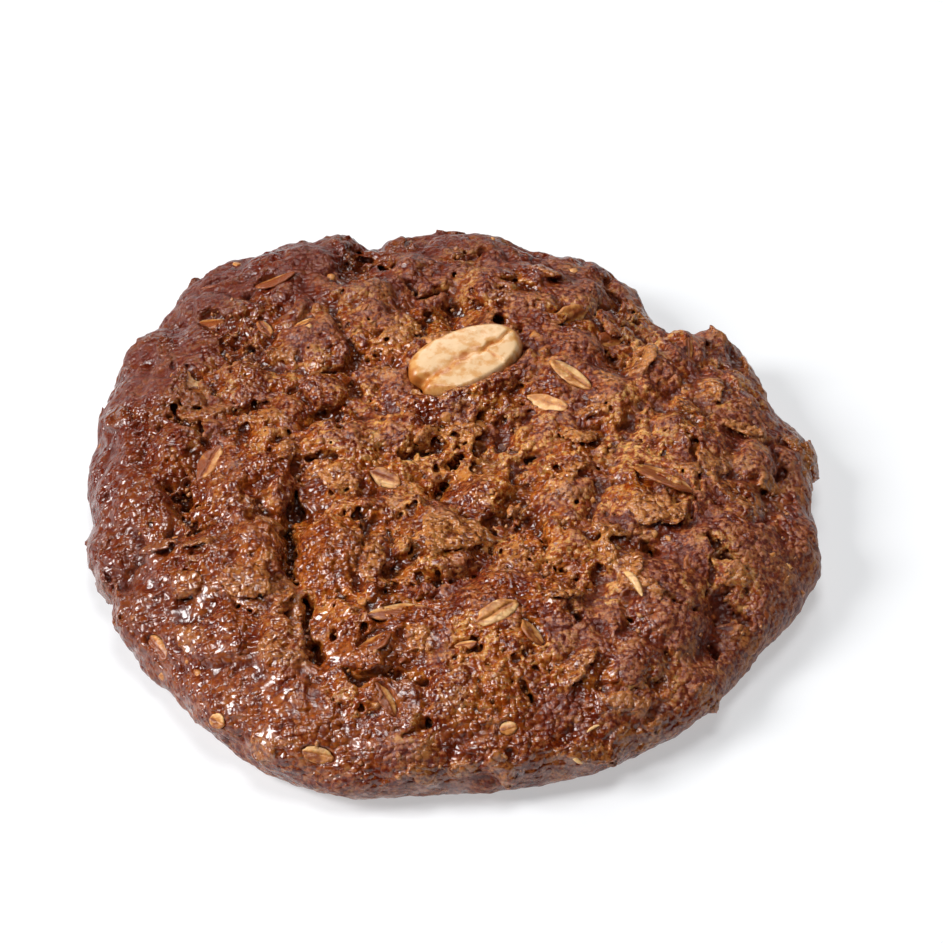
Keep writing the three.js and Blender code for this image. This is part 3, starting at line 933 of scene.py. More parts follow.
class Wiring:
    """Adds shader nodes to one tree and joins them up."""

    def __init__(self, tree):
        self.tree = tree

    def add(self, kind, inputs=None, **settings):
        """A new node, with its settings, and with each named or numbered input set or joined."""
        node = self.tree.nodes.new(kind)
        for key, value in settings.items():
            setattr(node, key, value)
        for socket, value in (inputs or {}).items():
            target = node.inputs[socket]
            if isinstance(value, bpy.types.NodeSocket):
                self.tree.links.new(value, target)
            else:
                target.default_value = value
        return node

    def math(self, operation, a, b=0.0, c=0.0, clamp=False):
        """One sum on up to three values."""
        node = self.add("ShaderNodeMath", {0: a, 1: b, 2: c}, operation=operation, use_clamp=clamp)
        return node.outputs[0]

    def swing(self, value, reach, onto):
        """The last value, raised or lowered by how far the first is from a half."""
        return self.math("MULTIPLY_ADD", self.math("SUBTRACT", value, 0.5), reach, onto)

    def blend(self, share, a, b):
        """The colour that is a share of the way from a to b."""
        node = self.add("ShaderNodeMix", {0: share, 6: a, 7: b}, data_type="RGBA")
        return node.outputs[2]

    def layered(self, base, *layers):
        """A base colour with others laid over it, each by its own share."""
        if not isinstance(base, bpy.types.NodeSocket):
            base = colour(base)
        for share, layer in layers:
            base = self.blend(share, base, colour(layer))
        return base

    def bump(self, height, strength, reach):
        """The way the surface faces once a height is added to it. reach is in mm."""
        inputs = {"Height": height, "Strength": strength, "Distance": reach * MM}
        return self.add("ShaderNodeBump", inputs).outputs[0]

    def step(self, value, low, high, to_low=0.0, to_high=1.0):
        """A smooth step as the value goes from low to high."""
        inputs = {"Value": value, "From Min": low, "From Max": high, "To Min": to_low, "To Max": to_high}
        return self.add("ShaderNodeMapRange", inputs, interpolation_type="SMOOTHSTEP").outputs[0]

    def measure(self, name):
        """A measure kept with each point of the mesh."""
        return self.add("ShaderNodeAttribute", attribute_name=name).outputs["Fac"]

    def grain(self, size, unevenness):
        """The shared baked grain, at its own size in mm."""
        return self.add("ShaderNodeGroup", {"Size": size, "Unevenness": unevenness}, node_tree=baked_grain())


def baked_grain():
    """The shader node group for baked grain: mottling, streaks, and the height of rounded granules."""
    name = "Baked grain"
    if name in bpy.data.node_groups:
        return bpy.data.node_groups[name]
    group = bpy.data.node_groups.new(name, "ShaderNodeTree")
    for name in ("Size", "Unevenness"):
        socket = group.interface.new_socket(name, in_out="INPUT", socket_type="NodeSocketFloat")
        socket.default_value = 0.5
    for name in ("Mottle", "Streaks", "Height"):
        group.interface.new_socket(name, in_out="OUTPUT", socket_type="NodeSocketFloat")
    w = Wiring(group)
    given = w.add("NodeGroupInput").outputs
    place = w.add("ShaderNodeTexCoord").outputs["Object"]
    scale = w.math("DIVIDE", 1 / MM, given["Size"])
    half_scale = w.math("MULTIPLY", scale, 0.5)
    spread = {"Vector": place, "Scale": half_scale}
    mottle = w.add("ShaderNodeTexNoise", spread | {"Detail": 4.0, "Roughness": 0.6}).outputs["Fac"]
    sway = w.add("ShaderNodeTexNoise", spread | {"Detail": 0.0}).outputs["Color"]
    reach = w.math("MULTIPLY", w.math("MULTIPLY", given["Size"], MM), given["Unevenness"])
    moved = w.add("ShaderNodeVectorMath", {0: sway, "Scale": reach}, operation="SCALE")
    bent = w.add("ShaderNodeVectorMath", {0: moved.outputs[0], 1: place}, operation="ADD").outputs[0]
    granules = w.add("ShaderNodeTexVoronoi", {"Vector": bent, "Scale": scale})
    tint = w.add("ShaderNodeSeparateColor", {0: granules.outputs["Color"]}).outputs[0]
    turned_up = {"Vector": bent, "Rotation": (0.3, 0.2, 0.7), "Scale": (0.3, 1.5, 1.0)}
    drawn_out = w.add("ShaderNodeMapping", turned_up).outputs[0]
    streaks = w.add("ShaderNodeTexNoise", {"Vector": drawn_out, "Scale": scale, "Detail": 0.0}).outputs["Fac"]
    domed = w.math("MULTIPLY", granules.outputs["Distance"], granules.outputs["Distance"])
    domed = w.math("MULTIPLY", domed, w.math("MULTIPLY_ADD", tint, -0.8, -0.4))
    height = w.math("MULTIPLY_ADD", streaks, 0.6, domed)
    w.add("NodeGroupOutput", {"Mottle": mottle, "Streaks": streaks, "Height": height})
    return group


def new_material(name):
    """An empty material with a Principled BSDF, and the wiring to add to it."""
    material = bpy.data.materials.new(name)
    material.use_nodes = True
    material.node_tree.nodes.clear()
    w = Wiring(material.node_tree)
    shader = w.add("ShaderNodeBsdfPrincipled")
    w.add("ShaderNodeOutputMaterial", {"Surface": shader.outputs[0]})
    return material, w, shader


def finish_shader(w, shader, linked, **fixed):
    """Joins what varies to the shader, and sets what doesn't on its own sockets."""
    for socket, value in linked.items():
        w.tree.links.new(value, shader.inputs[socket])
    for socket, value in fixed.items():
        shader.inputs[socket.replace("_", " ")].default_value = value


def colour(value):
    """A colour property with its alpha, for a shader socket."""
    return (*value, 1.0)


def dough_material(settings):
    """Browned dough: red-brown skin with a pale bloom, open amber crumb with granules, and a patchy glaze, with
    painted shade in its small hollows and cracks and painted light on its grain tops.
    """
    material, w, shader = new_material("Baked dough")
    crumb, tone, sunk, oat, glaze = map(w.measure, ("crumb", "tone", "sunk", "oat", "glaze"))
    browned, dry, shade, hollow, shine = map(w.measure, ("browned", "dry", "shade", "hollow", "shine"))
    fine = w.grain(0.3, 0.7).outputs
    coarse = w.grain(0.9, 0.7).outputs
    mixed = w.swing(fine["Mottle"], 1.5, coarse["Mottle"])
    pale = w.swing(fine["Mottle"], 1.5, w.swing(fine["Streaks"], 0.6, mixed))
    # Dips of the fine relief get less bloom and fewer specks, and its peaks more: painted shade in the dips and
    # painted light on the grain tops.
    pale = w.math("MULTIPLY_ADD", w.step(hollow, -0.5, 0.5, -1.0, 1.0), -0.25, pale)
    pale = w.math("MULTIPLY_ADD", tone, 0.1, w.swing(dry, 0.25, pale))
    warm = w.step(mixed, 0.3, 0.7)
    bloom, specks = w.step(pale, 0.55, 1.1), w.step(pale, 0.62, 1.15)
    skin = w.layered(settings.skin, (warm, settings.warm_skin), (bloom, settings.bloom))
    inside = w.layered(settings.crumb, (warm, settings.amber), (specks, settings.cream))
    open_share = w.step(w.math("MULTIPLY_ADD", crumb, 0.6, coarse["Mottle"]), 0.5, 0.95)
    shade = w.swing(mixed, 0.9, shade)
    base = w.layered(
        w.blend(open_share, skin, inside),
        (w.step(shade, 0.75, 1.0, 0.0, 0.25), settings.cream),
        (w.step(shade, 0.4, 0.1, 0.0, 0.35), settings.skin),
        (w.math("MULTIPLY", glaze, w.step(mixed, 0.3, 0.65, 0.15, 0.8)), settings.syrup),
        (w.math("MULTIPLY", oat, w.step(pale, 0.3, 0.9, 0.1, 0.8)), settings.soaked_oat),
        (w.math("MULTIPLY", browned, 0.85), settings.skin),
        (w.step(fine["Streaks"], 0.6, 0.75, 0.0, 0.4), settings.fibre_and_crack_shade),
        # Painted shade: the small hollows are laid over with a dark red-brown.
        (w.step(hollow, -0.05, 0.4, 0.0, 0.85), settings.hollow),
        # Painted shade: the deeper a point lies below the smooth crust, the darker it is laid, down the cracks
        # and pits.
        (w.step(sunk, 0.8, 2.4, 0.0, 0.9), settings.fibre_and_crack_shade),
    )
    rough = w.swing(coarse["Mottle"], 0.8, w.math("MULTIPLY_ADD", oat, -0.35, dry))
    rough = w.math("MULTIPLY_ADD", glaze, 0.14, w.step(rough, 0.1, 0.9, 0.18, 0.44))
    sticky = w.math("MULTIPLY_ADD", w.step(rough, 0.5, 0.2), 0.3, shine)
    coat = w.math("MULTIPLY", sticky, w.step(sunk, 2.6, 1.2), clamp=True)
    coat = w.math("MULTIPLY", coat, w.step(fine["Mottle"], 0.38, 0.52, 0.4, 1.0))
    calm = w.math("MULTIPLY_ADD", shine, -0.78, 1.0)
    calm = w.math("MULTIPLY", calm, w.math("MULTIPLY_ADD", dry, -0.15, 1.0))
    height = w.math("MULTIPLY", coarse["Height"], calm)
    height = w.math("MULTIPLY_ADD", fine["Height"], w.math("MULTIPLY", dry, 0.12), height)
    facing = w.bump(height, 1.0, 0.5)
    linked = {"Base Color": base, "Roughness": rough, "Coat Weight": coat}
    linked |= {"Normal": facing, "Coat Normal": facing}
    finish_shader(w, shader, linked, Coat_Roughness=0.21, Coat_IOR=1.6, IOR=1.5, Specular_IOR_Level=0.5)
    finish_shader(w, shader, {}, Subsurface_Weight=0.35, Subsurface_Scale=1.0 * MM)
    finish_shader(w, shader, {}, Subsurface_Radius=(1.0, 0.3, 0.08))
    return material


def oat_material(settings):
    """Rolled oat: cream at its edges, amber where the syrup has soaked in, and smeared with browned dough."""
    material, w, shader = new_material("Toasted oat")
    toast, rim, smear = w.measure("toast"), w.measure("rim"), w.measure("smear")
    grain = w.grain(0.6, 0.5).outputs
    browned = w.swing(grain["Mottle"], 1.6, w.math("MULTIPLY_ADD", smear, 0.7, toast))
    browned = w.math("MULTIPLY_ADD", rim, -0.18, browned)
    base = w.layered(
        settings.cream,
        (w.step(browned, 0.05, 0.5), settings.tan),
        (w.step(browned, 0.5, 1.0), settings.brown),
        (w.step(grain["Streaks"], 0.54, 0.7, 0.0, 0.35), settings.brown),
    )
    linked = {"Base Color": base, "Normal": w.bump(grain["Height"], 0.5, 0.2)}
    finish_shader(w, shader, linked, Roughness=0.42, Coat_Weight=0.2, Coat_Roughness=0.25)
    finish_shader(w, shader, {}, Subsurface_Weight=0.3, Subsurface_Scale=0.6 * MM)
    finish_shader(w, shader, {}, Subsurface_Radius=(1.0, 0.5, 0.2))
    return material


def crumb_material(settings):
    """Grains of crumb, from pale to amber."""
    material, w, shader = new_material("Crumb grains")
    shade = w.swing(w.grain(0.35, 0.8).outputs["Mottle"], 0.9, w.measure("toast"))
    base = w.layered(settings.pale, (w.step(shade, 0.1, 0.9), settings.amber))
    finish_shader(w, shader, {"Base Color": base}, Roughness=0.4, Coat_Weight=0.6, Coat_Roughness=0.12)
    return material


def peanut_material(settings):
    """Blanched and roasted peanut: cream face, a darker groove, browned rim and ends, and painted shade in its
    crack.
    """
    material, w, shader = new_material("Roasted peanut")
    grain, fine = w.grain(1.4, 0.4).outputs, w.grain(0.45, 0.4).outputs
    browned = w.swing(grain["Mottle"], 1.8, w.math("ADD", w.measure("toast"), 0.12))
    browned = w.swing(grain["Streaks"], 0.6, w.swing(fine["Mottle"], 1.5, browned))
    base = w.layered(
        settings.face,
        (w.step(browned, 0.0, 0.5), settings.gold),
        (w.step(browned, 0.42, 1.0), settings.toasted),
    )
    linked = {"Base Color": base, "Normal": w.bump(grain["Height"], 0.15, 0.1)}
    finish_shader(w, shader, linked, Roughness=0.4, Coat_Weight=0.25, Coat_Roughness=0.25)
    return material


def stage_material(settings):
    """A matt white sweep of board."""
    material, w, shader = new_material("Pale board")
    finish_shader(w, shader, {}, Base_Color=colour(settings.floor), Roughness=0.9, Specular_IOR_Level=0.1)
    finish_shader(w, shader, {}, Emission_Color=colour(settings.surround))
    finish_shader(w, shader, {}, Emission_Strength=settings.floor_glow)
    return material


# ----------------------------------------------------------------------------------------------------
# Sizes and colours that a user would change.


def length_prop(name, description, default, **kind):
    """A length in metres."""
    kind |= {"subtype": "DISTANCE", "unit": "LENGTH", "precision": 5}
    return bpy.props.FloatProperty(name=name, description=description, default=default, **kind)


def colour_prop(name, description, default):
    """A colour, in linear red, green and blue."""
    kind = {"subtype": "COLOR", "size": 3, "min": 0, "max": 1}
    return bpy.props.FloatVectorProperty(name=name, description=description, default=default, **kind)


def share_prop(name, description, default, high=1.0):
    """A share, or a strength that may go past 1."""
    kind = {"subtype": "FACTOR", "min": 0, "max": high}
    return bpy.props.FloatProperty(name=name, description=description, default=default, **kind)


def power_prop(name, description, default):
    """The power of a light in watts."""
    kind = {"unit": "POWER", "min": 0}
    return bpy.props.FloatProperty(name=name, description=description, default=default, **kind)


def count_prop(name, description, default, high, low=0):
    """A whole number of pieces."""
    kind = {"min": low, "max": high}
    return bpy.props.IntProperty(name=name, description=description, default=default, **kind)


class StageSettings(bpy.types.PropertyGroup):
    """The floor, the light and the camera."""

    floor: colour_prop("Floor", "Colour of the board that the cookie lies on", (0.50, 0.505, 0.515))
    floor_glow: share_prop("Floor glow", "Light that comes through the board from below", 0.45, 2)
    floor_size: length_prop("Floor size", "Width of the board", 3.0, min=0.5)
    surround: colour_prop("Surround", "Colour of the light from all round", (0.97, 0.985, 1.0))
    surround_strength: share_prop("Surround strength", "How bright the light from all round is", 0.01, 4)
    key_power: power_prop("Key light", "Power of the large soft light on the left", 9.7)
    key_size: length_prop("Key size", "Width of the key light", 0.4, min=0.05)
    top_power: power_prop("Top light", "Power of the wide soft light overhead", 4.2)
    back_power: power_prop("Back light", "Power of the soft light behind", 2.5)
    camera_height: bpy.props.FloatProperty(
        name="Camera elevation",
        description="How far above the horizon the camera looks from",
        default=math.radians(45),
        subtype="ANGLE",
    )
    camera_distance: length_prop("Camera distance", "From the cookie to the camera", 0.6, min=0.1)
    lens: bpy.props.FloatProperty(
        name="Lens", description="Focal length of the camera", default=176.73, unit="CAMERA", min=10
    )


class DoughSettings(bpy.types.PropertyGroup):
    """The dough's lumps, grain and colours."""

    grain_pitch: length_prop("Grain pitch", "Finest step of the dough's surface", 0.29 * MM, min=0.2 * MM)
    lump_size: length_prop("Lump size", "Width of a lump between two seams", 8.5 * MM, min=2 * MM)
    relief: share_prop("Relief", "How far the lumps stand out", 0.8, 2)
    collar: length_prop("Collar", "How far the dough rises round the peanut", 1.2 * MM)
    buried_oats: count_prop("Buried oats", "Oat flakes that lie under the skin", 150, 600)
    triangles: count_prop("Triangles", "Most triangles that the dough may have", 194000, 199000, 1000)
    skin: colour_prop("Skin", "Purple-brown skin", (0.11, 0.010, 0.002))
    warm_skin: colour_prop("Warm skin", "Orange-brown skin", (0.27, 0.043, 0.001))
    bloom: colour_prop("Bloom", "Pale bloom on the skin", (0.40, 0.133, 0.045))
    crumb: colour_prop("Crumb", "Brown of the open crumb", (0.26, 0.040, 0.002))
    amber: colour_prop("Amber", "Amber of the open crumb", (0.45, 0.125, 0.012))
    cream: colour_prop("Specks", "Pale specks in the crumb", (0.64, 0.315, 0.09))
    soaked_oat: colour_prop("Soaked oat", "Oat flakes under the skin", (0.54, 0.21, 0.05))
    syrup: colour_prop("Syrup", "Amber-brown crust under the glaze", (0.36, 0.085, 0.003))
    # The colour of the painted shade in the small hollows.
    hollow: colour_prop("Hollows", "Red-brown of the small hollows", (0.09, 0.008, 0.0005))
    # This dark colours the fibres, and it is also the painted shade at the bottoms of cracks.
    fibre_and_crack_shade: colour_prop("Dark", "Fibres and the bottoms of cracks", (0.045, 0.006, 0.0005))


class OatSettings(bpy.types.PropertyGroup):
    """The oat flakes, chips and splinters that show."""

    thickness: length_prop("Thickness", "Thickness of an oat flake", 0.42 * MM, min=0.2 * MM)
    scattered_chips: count_prop("Scattered chips", "Chips besides the ones placed by hand", 70, 800)
    cream: colour_prop("Cream", "Untoasted oat", (0.78, 0.46, 0.19))
    tan: colour_prop("Tan", "Syrup-soaked oat", (0.54, 0.21, 0.045))
    brown: colour_prop("Brown", "Browned edges and lines", (0.24, 0.05, 0.006))


class CrumbSettings(bpy.types.PropertyGroup):
    """The grains of crumb."""

    count: count_prop("Grains", "Number of grains", 1800, 19900)
    smallest: length_prop("Smallest", "Width of the smallest grains", 0.4 * MM)
    largest: length_prop("Largest", "Width of the largest grains", 1.1 * MM)
    pale: colour_prop("Pale", "Pale grains", (0.50, 0.22, 0.07))
    amber: colour_prop("Amber", "Amber grains", (0.26, 0.06, 0.008))


class PeanutSettings(bpy.types.PropertyGroup):
    """The half peanut on top."""

    groove: length_prop("Groove", "Depth of the groove along its face", 0.5 * MM)
    face: colour_prop("Face", "Cream of the split face", (0.76, 0.50, 0.265))
    gold: colour_prop("Gold", "Golden parts", (0.64, 0.31, 0.09))
    toasted: colour_prop("Toasted", "Browned rim and groove", (0.46, 0.14, 0.02))


# ----------------------------------------------------------------------------------------------------
# The operators, one for each piece or group of like pieces.


class COOKIE_OT_stage(bpy.types.Operator):
    """Lay the pale floor and set the soft light and the camera"""

    bl_idname = "cookie.stage"
    bl_label = "Floor, Light and Camera"

    def execute(self, context):
        settings = context.scene.cookie_stage
        half = settings.floor_size / 2 / MM
        corners = np.array([(-half, -half, 0), (half, -half, 0), (half, half, 0), (-half, half, 0)])
        floor = make_piece("floor", corners - (0, 0, 0.02), [(0, 1, 2, 3)], stage_material(settings))

        world = bpy.data.worlds.new("Soft surround")
        world.use_nodes = True
        background = world.node_tree.nodes["Background"]
        background.inputs["Color"].default_value = colour(settings.surround)
        background.inputs["Strength"].default_value = settings.surround_strength
        context.scene.world = world

        lights = (
            ("key", settings.key_power, settings.key_size, Vector((-0.70, -0.12, 0.58))),
            ("top", settings.top_power, 0.36, Vector((0.05, 0.0, 1.0))),
            ("back", settings.back_power, 0.28, Vector((0.0, 0.75, 0.75))),
        )
        for name, power, width, place in lights:
            light = bpy.data.lights.new(name, "AREA")
            light.size, light.energy = width, power
            lamp = bpy.data.objects.new(name, light)
            lamp.location = place
            lamp.rotation_euler = (-place).to_track_quat("-Z", "Y").to_euler()
            context.scene.collection.objects.link(lamp)

        # The camera stands back from a spot in the cookie and looks a little above and to the right of it.
        rise = settings.camera_height
        middle = Vector((0.4, -3.1, 5.0)) * MM
        back = Vector((0, -math.cos(rise), math.sin(rise)))
        aim = middle + Vector((2.27, 0, 0)) * MM + Vector((0, math.sin(rise), math.cos(rise))) * 5.64 * MM
        lens = bpy.data.cameras.new("camera")
        lens.lens, lens.sensor_width = settings.lens, 36
        lens.clip_start, lens.clip_end = 0.01, 20
        camera = bpy.data.objects.new("camera", lens)
        camera.location = middle + back * settings.camera_distance
        camera.rotation_euler = (aim - camera.location).to_track_quat("-Z", "Y").to_euler()
        context.scene.collection.objects.link(camera)
        context.scene.camera = camera
        context.scene.view_settings.view_transform = "Standard"
        return {"FINISHED"}


class COOKIE_OT_dough(bpy.types.Operator):
    """Bake the dough: lumps, seams, crevices, buried oats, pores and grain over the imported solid"""

    bl_idname = "cookie.dough"
    bl_label = "Baked Dough"

    def execute(self, context):
        settings = context.scene.cookie_dough
        depth, flakes, shown, points, faces = knead(settings, context.scene.cookie_oats)
        raw = make_piece("raw_dough", points, faces, None)
        thin = raw.modifiers.new("fewer", "DECIMATE")
        thin.ratio = min(1, settings.triangles / (2 * len(faces)))
        mesh = bpy.data.meshes.new_from_object(raw.evaluated_get(context.evaluated_depsgraph_get()))
        bpy.data.objects.remove(raw)
        mesh.name = "baked_dough"
        dough = bpy.data.objects.new("baked_dough", mesh)
        context.scene.collection.objects.link(dough)

        points = points_of(mesh)
        sunk = -in_batches(depth.at, (points,))
        glaze = in_batches(glaze_amount, (points,))
        crumb = in_batches(crumb_amount, (points, sunk, glaze))
        oat = 1 - ease_between(oat_distance(points, flakes), -0.1, 0.35)
        paler = in_batches(patch_amount, (points,), PALER)
        tone = noise(points, 9.0, 95) + 0.6 * noise(points, 3.5, 96) + 2.5 * paler
        measures = {"sunk": sunk, "glaze": glaze, "crumb": crumb, "oat": oat, "tone": tone}
        measures |= {"browned": browned_amount(points), "dry": dry_amount(points, glaze, crumb)}
        measures |= {"shine": shine_amount(points, glaze), "shade": lump_shade(points)}
        # How deep each point lies in a small dip, which sets the painted shade of the hollows.
        measures["hollow"] = hollow_depth(mesh, HOLLOW_ROUNDS)
        set_measures(mesh, measures)
        mesh.materials.clear()
        mesh.materials.append(dough_material(settings))
        mesh.shade_smooth()
        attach(dough, "root")
        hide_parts(DOUGH_NODE)
        context.view_layer.update()
        kitchen["crust"] = Crust(dough, depth)
        kitchen["dough"] = dough
        kitchen["shown oats"] = shown
        return {"FINISHED"}


def need_crust():
    """The finished crust, or an error if the dough isn't made yet."""
    if "crust" not in kitchen:
        raise RuntimeError("make the baked dough first")
    return kitchen["crust"]


def grain_shape(rng, detail, unevenness):
    """A rough little lump of radius about 1: points and triangles."""
    angle = circle(5 * detail)
    outline = np.column_stack([np.cos(angle), np.sin(angle)])
    tilt = np.linspace(0, math.pi, detail + 2)
    points, faces = pillow(outline, np.sin(tilt), np.cos(tilt))
    points = points * (1 + rng.normal(0, unevenness, (len(points), 1)))
    return points * rng.uniform(0.65, 1.15, 3), faces


def chip_shape(rng):
    """A broken bit of nut or oat of radius about 1, with flat sides: points and triangles."""
    points, faces = grain_shape(rng, 5, 0.0)
    points /= np.linalg.norm(points, axis=1).max()
    for _ in range(7):
        side = rng.normal(size=3)
        side /= np.linalg.norm(side)
        proud = np.maximum(points @ side - rng.uniform(0.35, 0.7), 0)
        points -= 0.9 * proud[:, None] * side
    return points, faces


class COOKIE_OT_peanut(bpy.types.Operator):
    """Lay the half peanut in its seat, split face up"""

    bl_idname = "cookie.peanut"
    bl_label = "Peanut Half"

    def execute(self, context):
        need_crust()
        settings = context.scene.cookie_peanut
        low, high = box_of(PEANUT_NODE)
        points, faces = nut_shape(settings)
        placed = seat_on(points, (low + high) / 2)
        toast = nut_toast_and_crack_shade(points)
        nut = make_piece("roasted_peanut", placed, faces, peanut_material(settings), toast=toast)
        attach(nut, "root")
        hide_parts(PEANUT_NODE)
        return {"FINISHED"}


def nut_shape(settings):
    """The half peanut in its own frame: x along it, z up out of its split face, 0 at its widest line."""
    angle = circle(168)
    face_rings, back_rings = 38, 14
    full = 0.84
    x = NUT_LENGTH / 2 * np.sign(np.cos(angle)) * np.abs(np.cos(angle)) ** full
    taper = 1 - 0.1 * x / (NUT_LENGTH / 2)
    y = NUT_WIDTH / 2 * np.sign(np.sin(angle)) * np.abs(np.sin(angle)) ** (full + 0.04) * taper
    outline = np.column_stack([x, y])
    top = NUT_HEIGHT * NUT_FACE_SHARE
    foot = NUT_HEIGHT - top
    flat = 0.84
    shares = list(np.linspace(0, flat, face_rings))
    heights = [top] * face_rings
    for bend in np.linspace(0.12, 1, 8):
        shares.append(flat + (1 - flat) * math.sin(bend * math.pi / 2))
        heights.append(top * math.cos(bend * math.pi / 2) ** 0.8)
    for bend in np.linspace(0, 1, back_rings)[1:]:
        shares.append(math.cos(bend * math.pi / 2))
        heights.append(-foot * math.sin(bend * math.pi / 2))
    points, faces = pillow(outline, np.array(shares), np.array(heights))
    points = points.astype(np.float32)
    share = np.hypot(points[:, 0] / (NUT_LENGTH / 2), points[:, 1] / (NUT_WIDTH / 2))
    up = ease_between(points[:, 2], 0.2, top)
    deep, step = nut_groove(points)
    rough = noise(points, 2.8, 101) * 0.06 + noise(points, 0.8, 102) * 0.02
    points[:, 2] += up * (step - 0.2 * np.clip(share, 0, 1) ** 4 - settings.groove / MM * deep + rough)
    cleft = np.exp(-(((points[:, 0] + NUT_LENGTH / 2) / 2.0) ** 2) - ((points[:, 1] + 0.75) / 0.75) ** 2)
    points[:, 0] += 1.2 * cleft * ease_between(points[:, 2], -2.5, 0.8)
    points[:, 2] -= 0.35 * cleft * up
    return points, faces


# The groove runs along the face as a wide shallow valley, then as a sharp cut between the halves' edges.
GROOVE_LINE = np.array(
    ((-8.1, -0.9), (-5.4, -0.75), (-2.0, -0.15), (0.6, -0.1), (2.4, -0.3), (5.2, 0.1), (7.8, 0.9))
)


def nut_groove(points):
    """How deep the groove is from 0 to 1, and the low step between the two pads of the face in mm."""
    x, y = points[:, 0], points[:, 1]
    line = np.interp(x, GROOVE_LINE[:, 0], GROOVE_LINE[:, 1]) + 0.12 * np.sin(2.3 * x)
    sharp = ease_between(x, 1.4, 2.8)
    width = 0.62 - 0.3 * sharp + 0.1 * np.sin(1.7 * x + 1)
    ends = ease_between(NUT_LENGTH / 2 - np.abs(x), 0.3, 1.6)
    deep = np.exp(-(((y - line) / width) ** 2)) * ends * (0.4 + 0.6 * sharp)
    lower = ease_between(line - y, 0, 0.35)
    crack = 2.3 + 0.35 * np.clip(line - y, 0, 3)
    step = 0.22 * lower * ease_between(x, crack, crack + 0.3) * ease_between(NUT_LENGTH / 2 - x, 0, 2)
    return deep, step


def nut_toast_and_crack_shade(points):
    """How dark each point of the nut is laid, from 0 to 1: browned rim and ends, a darker groove, and
    painted shade along the crack between its two pads.
    """
    x, y, z = points.T
    share = np.hypot(x / (NUT_LENGTH / 2), y / (NUT_WIDTH / 2))
    patches = noise(points, 2.2, 103) + 0.5 * noise(points, 0.9, 104)
    far = 0.3 + 0.7 * ease_between(y + 0.25 * x, -1.5, 1.5)
    rim = 0.6 * far * ease_between(share + 0.05 * patches, 0.86, 0.98) * ease_between(z, -1.2, 0.6)
    rim += 0.4 * ease_between(z - 0.3 * patches, 0.5, -0.4)
    ends = ease_between(np.abs(x) / (NUT_LENGTH / 2) + 0.08 * patches, 0.78, 1.0) * 0.3
    deep, _ = nut_groove(points)
    line = np.interp(x, GROOVE_LINE[:, 0], GROOVE_LINE[:, 1])
    smear = np.exp(-(((y - line + 0.2) / 1.1) ** 2)) * ease_between(-x, -2.6, 0.5) * (0.45 + 0.4 * patches)
    # Painted shade: a thin dark line along the step where the lower pad drops away, for the crack's shadow.
    crack = np.exp(-(((x - 2.4 - 0.35 * np.clip(line - y, 0, 3)) / 0.16) ** 2))
    crack = crack * ease_between(line - y, -0.1, 0.2)
    crack *= ease_between(line - y, 2.4, 1.6)
    cleft = np.exp(-(((x + 7.2) / 1.2) ** 2) - ((y + 0.8) / 1.0) ** 2)
    return np.clip(rim + ends + 0.55 * deep + smear + 0.7 * crack + 0.5 * cleft + 0.1 * patches, 0, 1)


def seat_on(points, middle):
    """The nut's own points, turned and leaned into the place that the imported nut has."""
    nose, side = (math.radians(NUT_LEAN[key]) for key in ("nose", "side"))
    x, y, z = points.T
    x, z = x * math.cos(nose) - z * math.sin(nose), x * math.sin(nose) + z * math.cos(nose)
    y, z = y * math.cos(side) - z * math.sin(side), y * math.sin(side) + z * math.cos(side)
    flat = x[:, None] * NUT_ALONG + y[:, None] * NUT_ACROSS
    placed = np.column_stack([flat, z])
    low, high = placed.min(0), placed.max(0)
    return placed - (low + high) / 2 + middle


class COOKIE_OT_oats(bpy.types.Operator):
    """Lay the oat flakes, chips and splinters that show in the crust"""

    bl_idname = "cookie.oats"
    bl_label = "Oat Flakes, Chips and Splinters"

    def execute(self, context):
        crust = need_crust()
        settings = context.scene.cookie_oats
        material = oat_material(settings)
        rng = np.random.default_rng(23)
        heap = Heap()
        for middle, axes, half, toast, side, bare in kitchen["shown oats"]:
            points, faces, rim = oat_flake(rng, *(2 * half))
            blotches = noise(points.astype(np.float32) + middle.astype(np.float32), 1.4, 73)
            smear = ease_between(points[:, 1] * side / half[1] + 0.5 * blotches, 0.7, -0.3 - bare)
            smear += 0.9 * np.exp(-((points[:, 1] / half[1] / 0.25) ** 2)) * ease_between(blotches, -0.9, 0.3)
            heap.add(points @ axes + middle, faces, toast=toast, rim=rim, smear=smear)
        flakes = heap.piece("oat_flakes", material)
        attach(flakes, "root")

        heap = Heap()
        chips = [list(chip) for chip in CHIPS]
        reach = np.array((HALF_WIDTH, HALF_DEPTH)) - 1
        while len(chips) < len(CHIPS) + settings.scattered_chips:
            x, y = rng.uniform(-reach, reach)
            if crust.depth.at(np.float32([(x, y, 5)]))[0] < -0.5:
                chips.append([x, y, None, rng.uniform(0.7, 1.6), rng.uniform(0.35, 1.0)])
        for x, y, z, size, toast in chips:
            spot, up = crust.spot(x, y, z)
            points, faces = chip_shape(rng)
            points *= size / 2 * np.array((1.2, 0.9, 0.55))
            along = np.cross(up, rng.normal(size=3))
            tilted = leaned(up, along, rng.uniform(-30, 30))
            placed = turned(points, along, tilted, spot - up * 0.12 * size)
            heap.add(placed, faces, toast=toast, rim=0.3, smear=0.35)
        chips = heap.piece("nut_and_oat_chips", material)
        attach(chips, "root")

        heap = Heap()
        for route, thickness in SPLINTERS:
            path = np.array([crust.spot(*point)[0] for point in route])
            up = crust.spot(*route[1])[1]
            points, faces = splinter(path + up * 0.3, up, thickness)
            heap.add(points, faces, toast=0.05, rim=0.6, smear=0.0)
        splinters = heap.piece("husk_splinters", material)
        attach(splinters, "root")
        return {"FINISHED"}


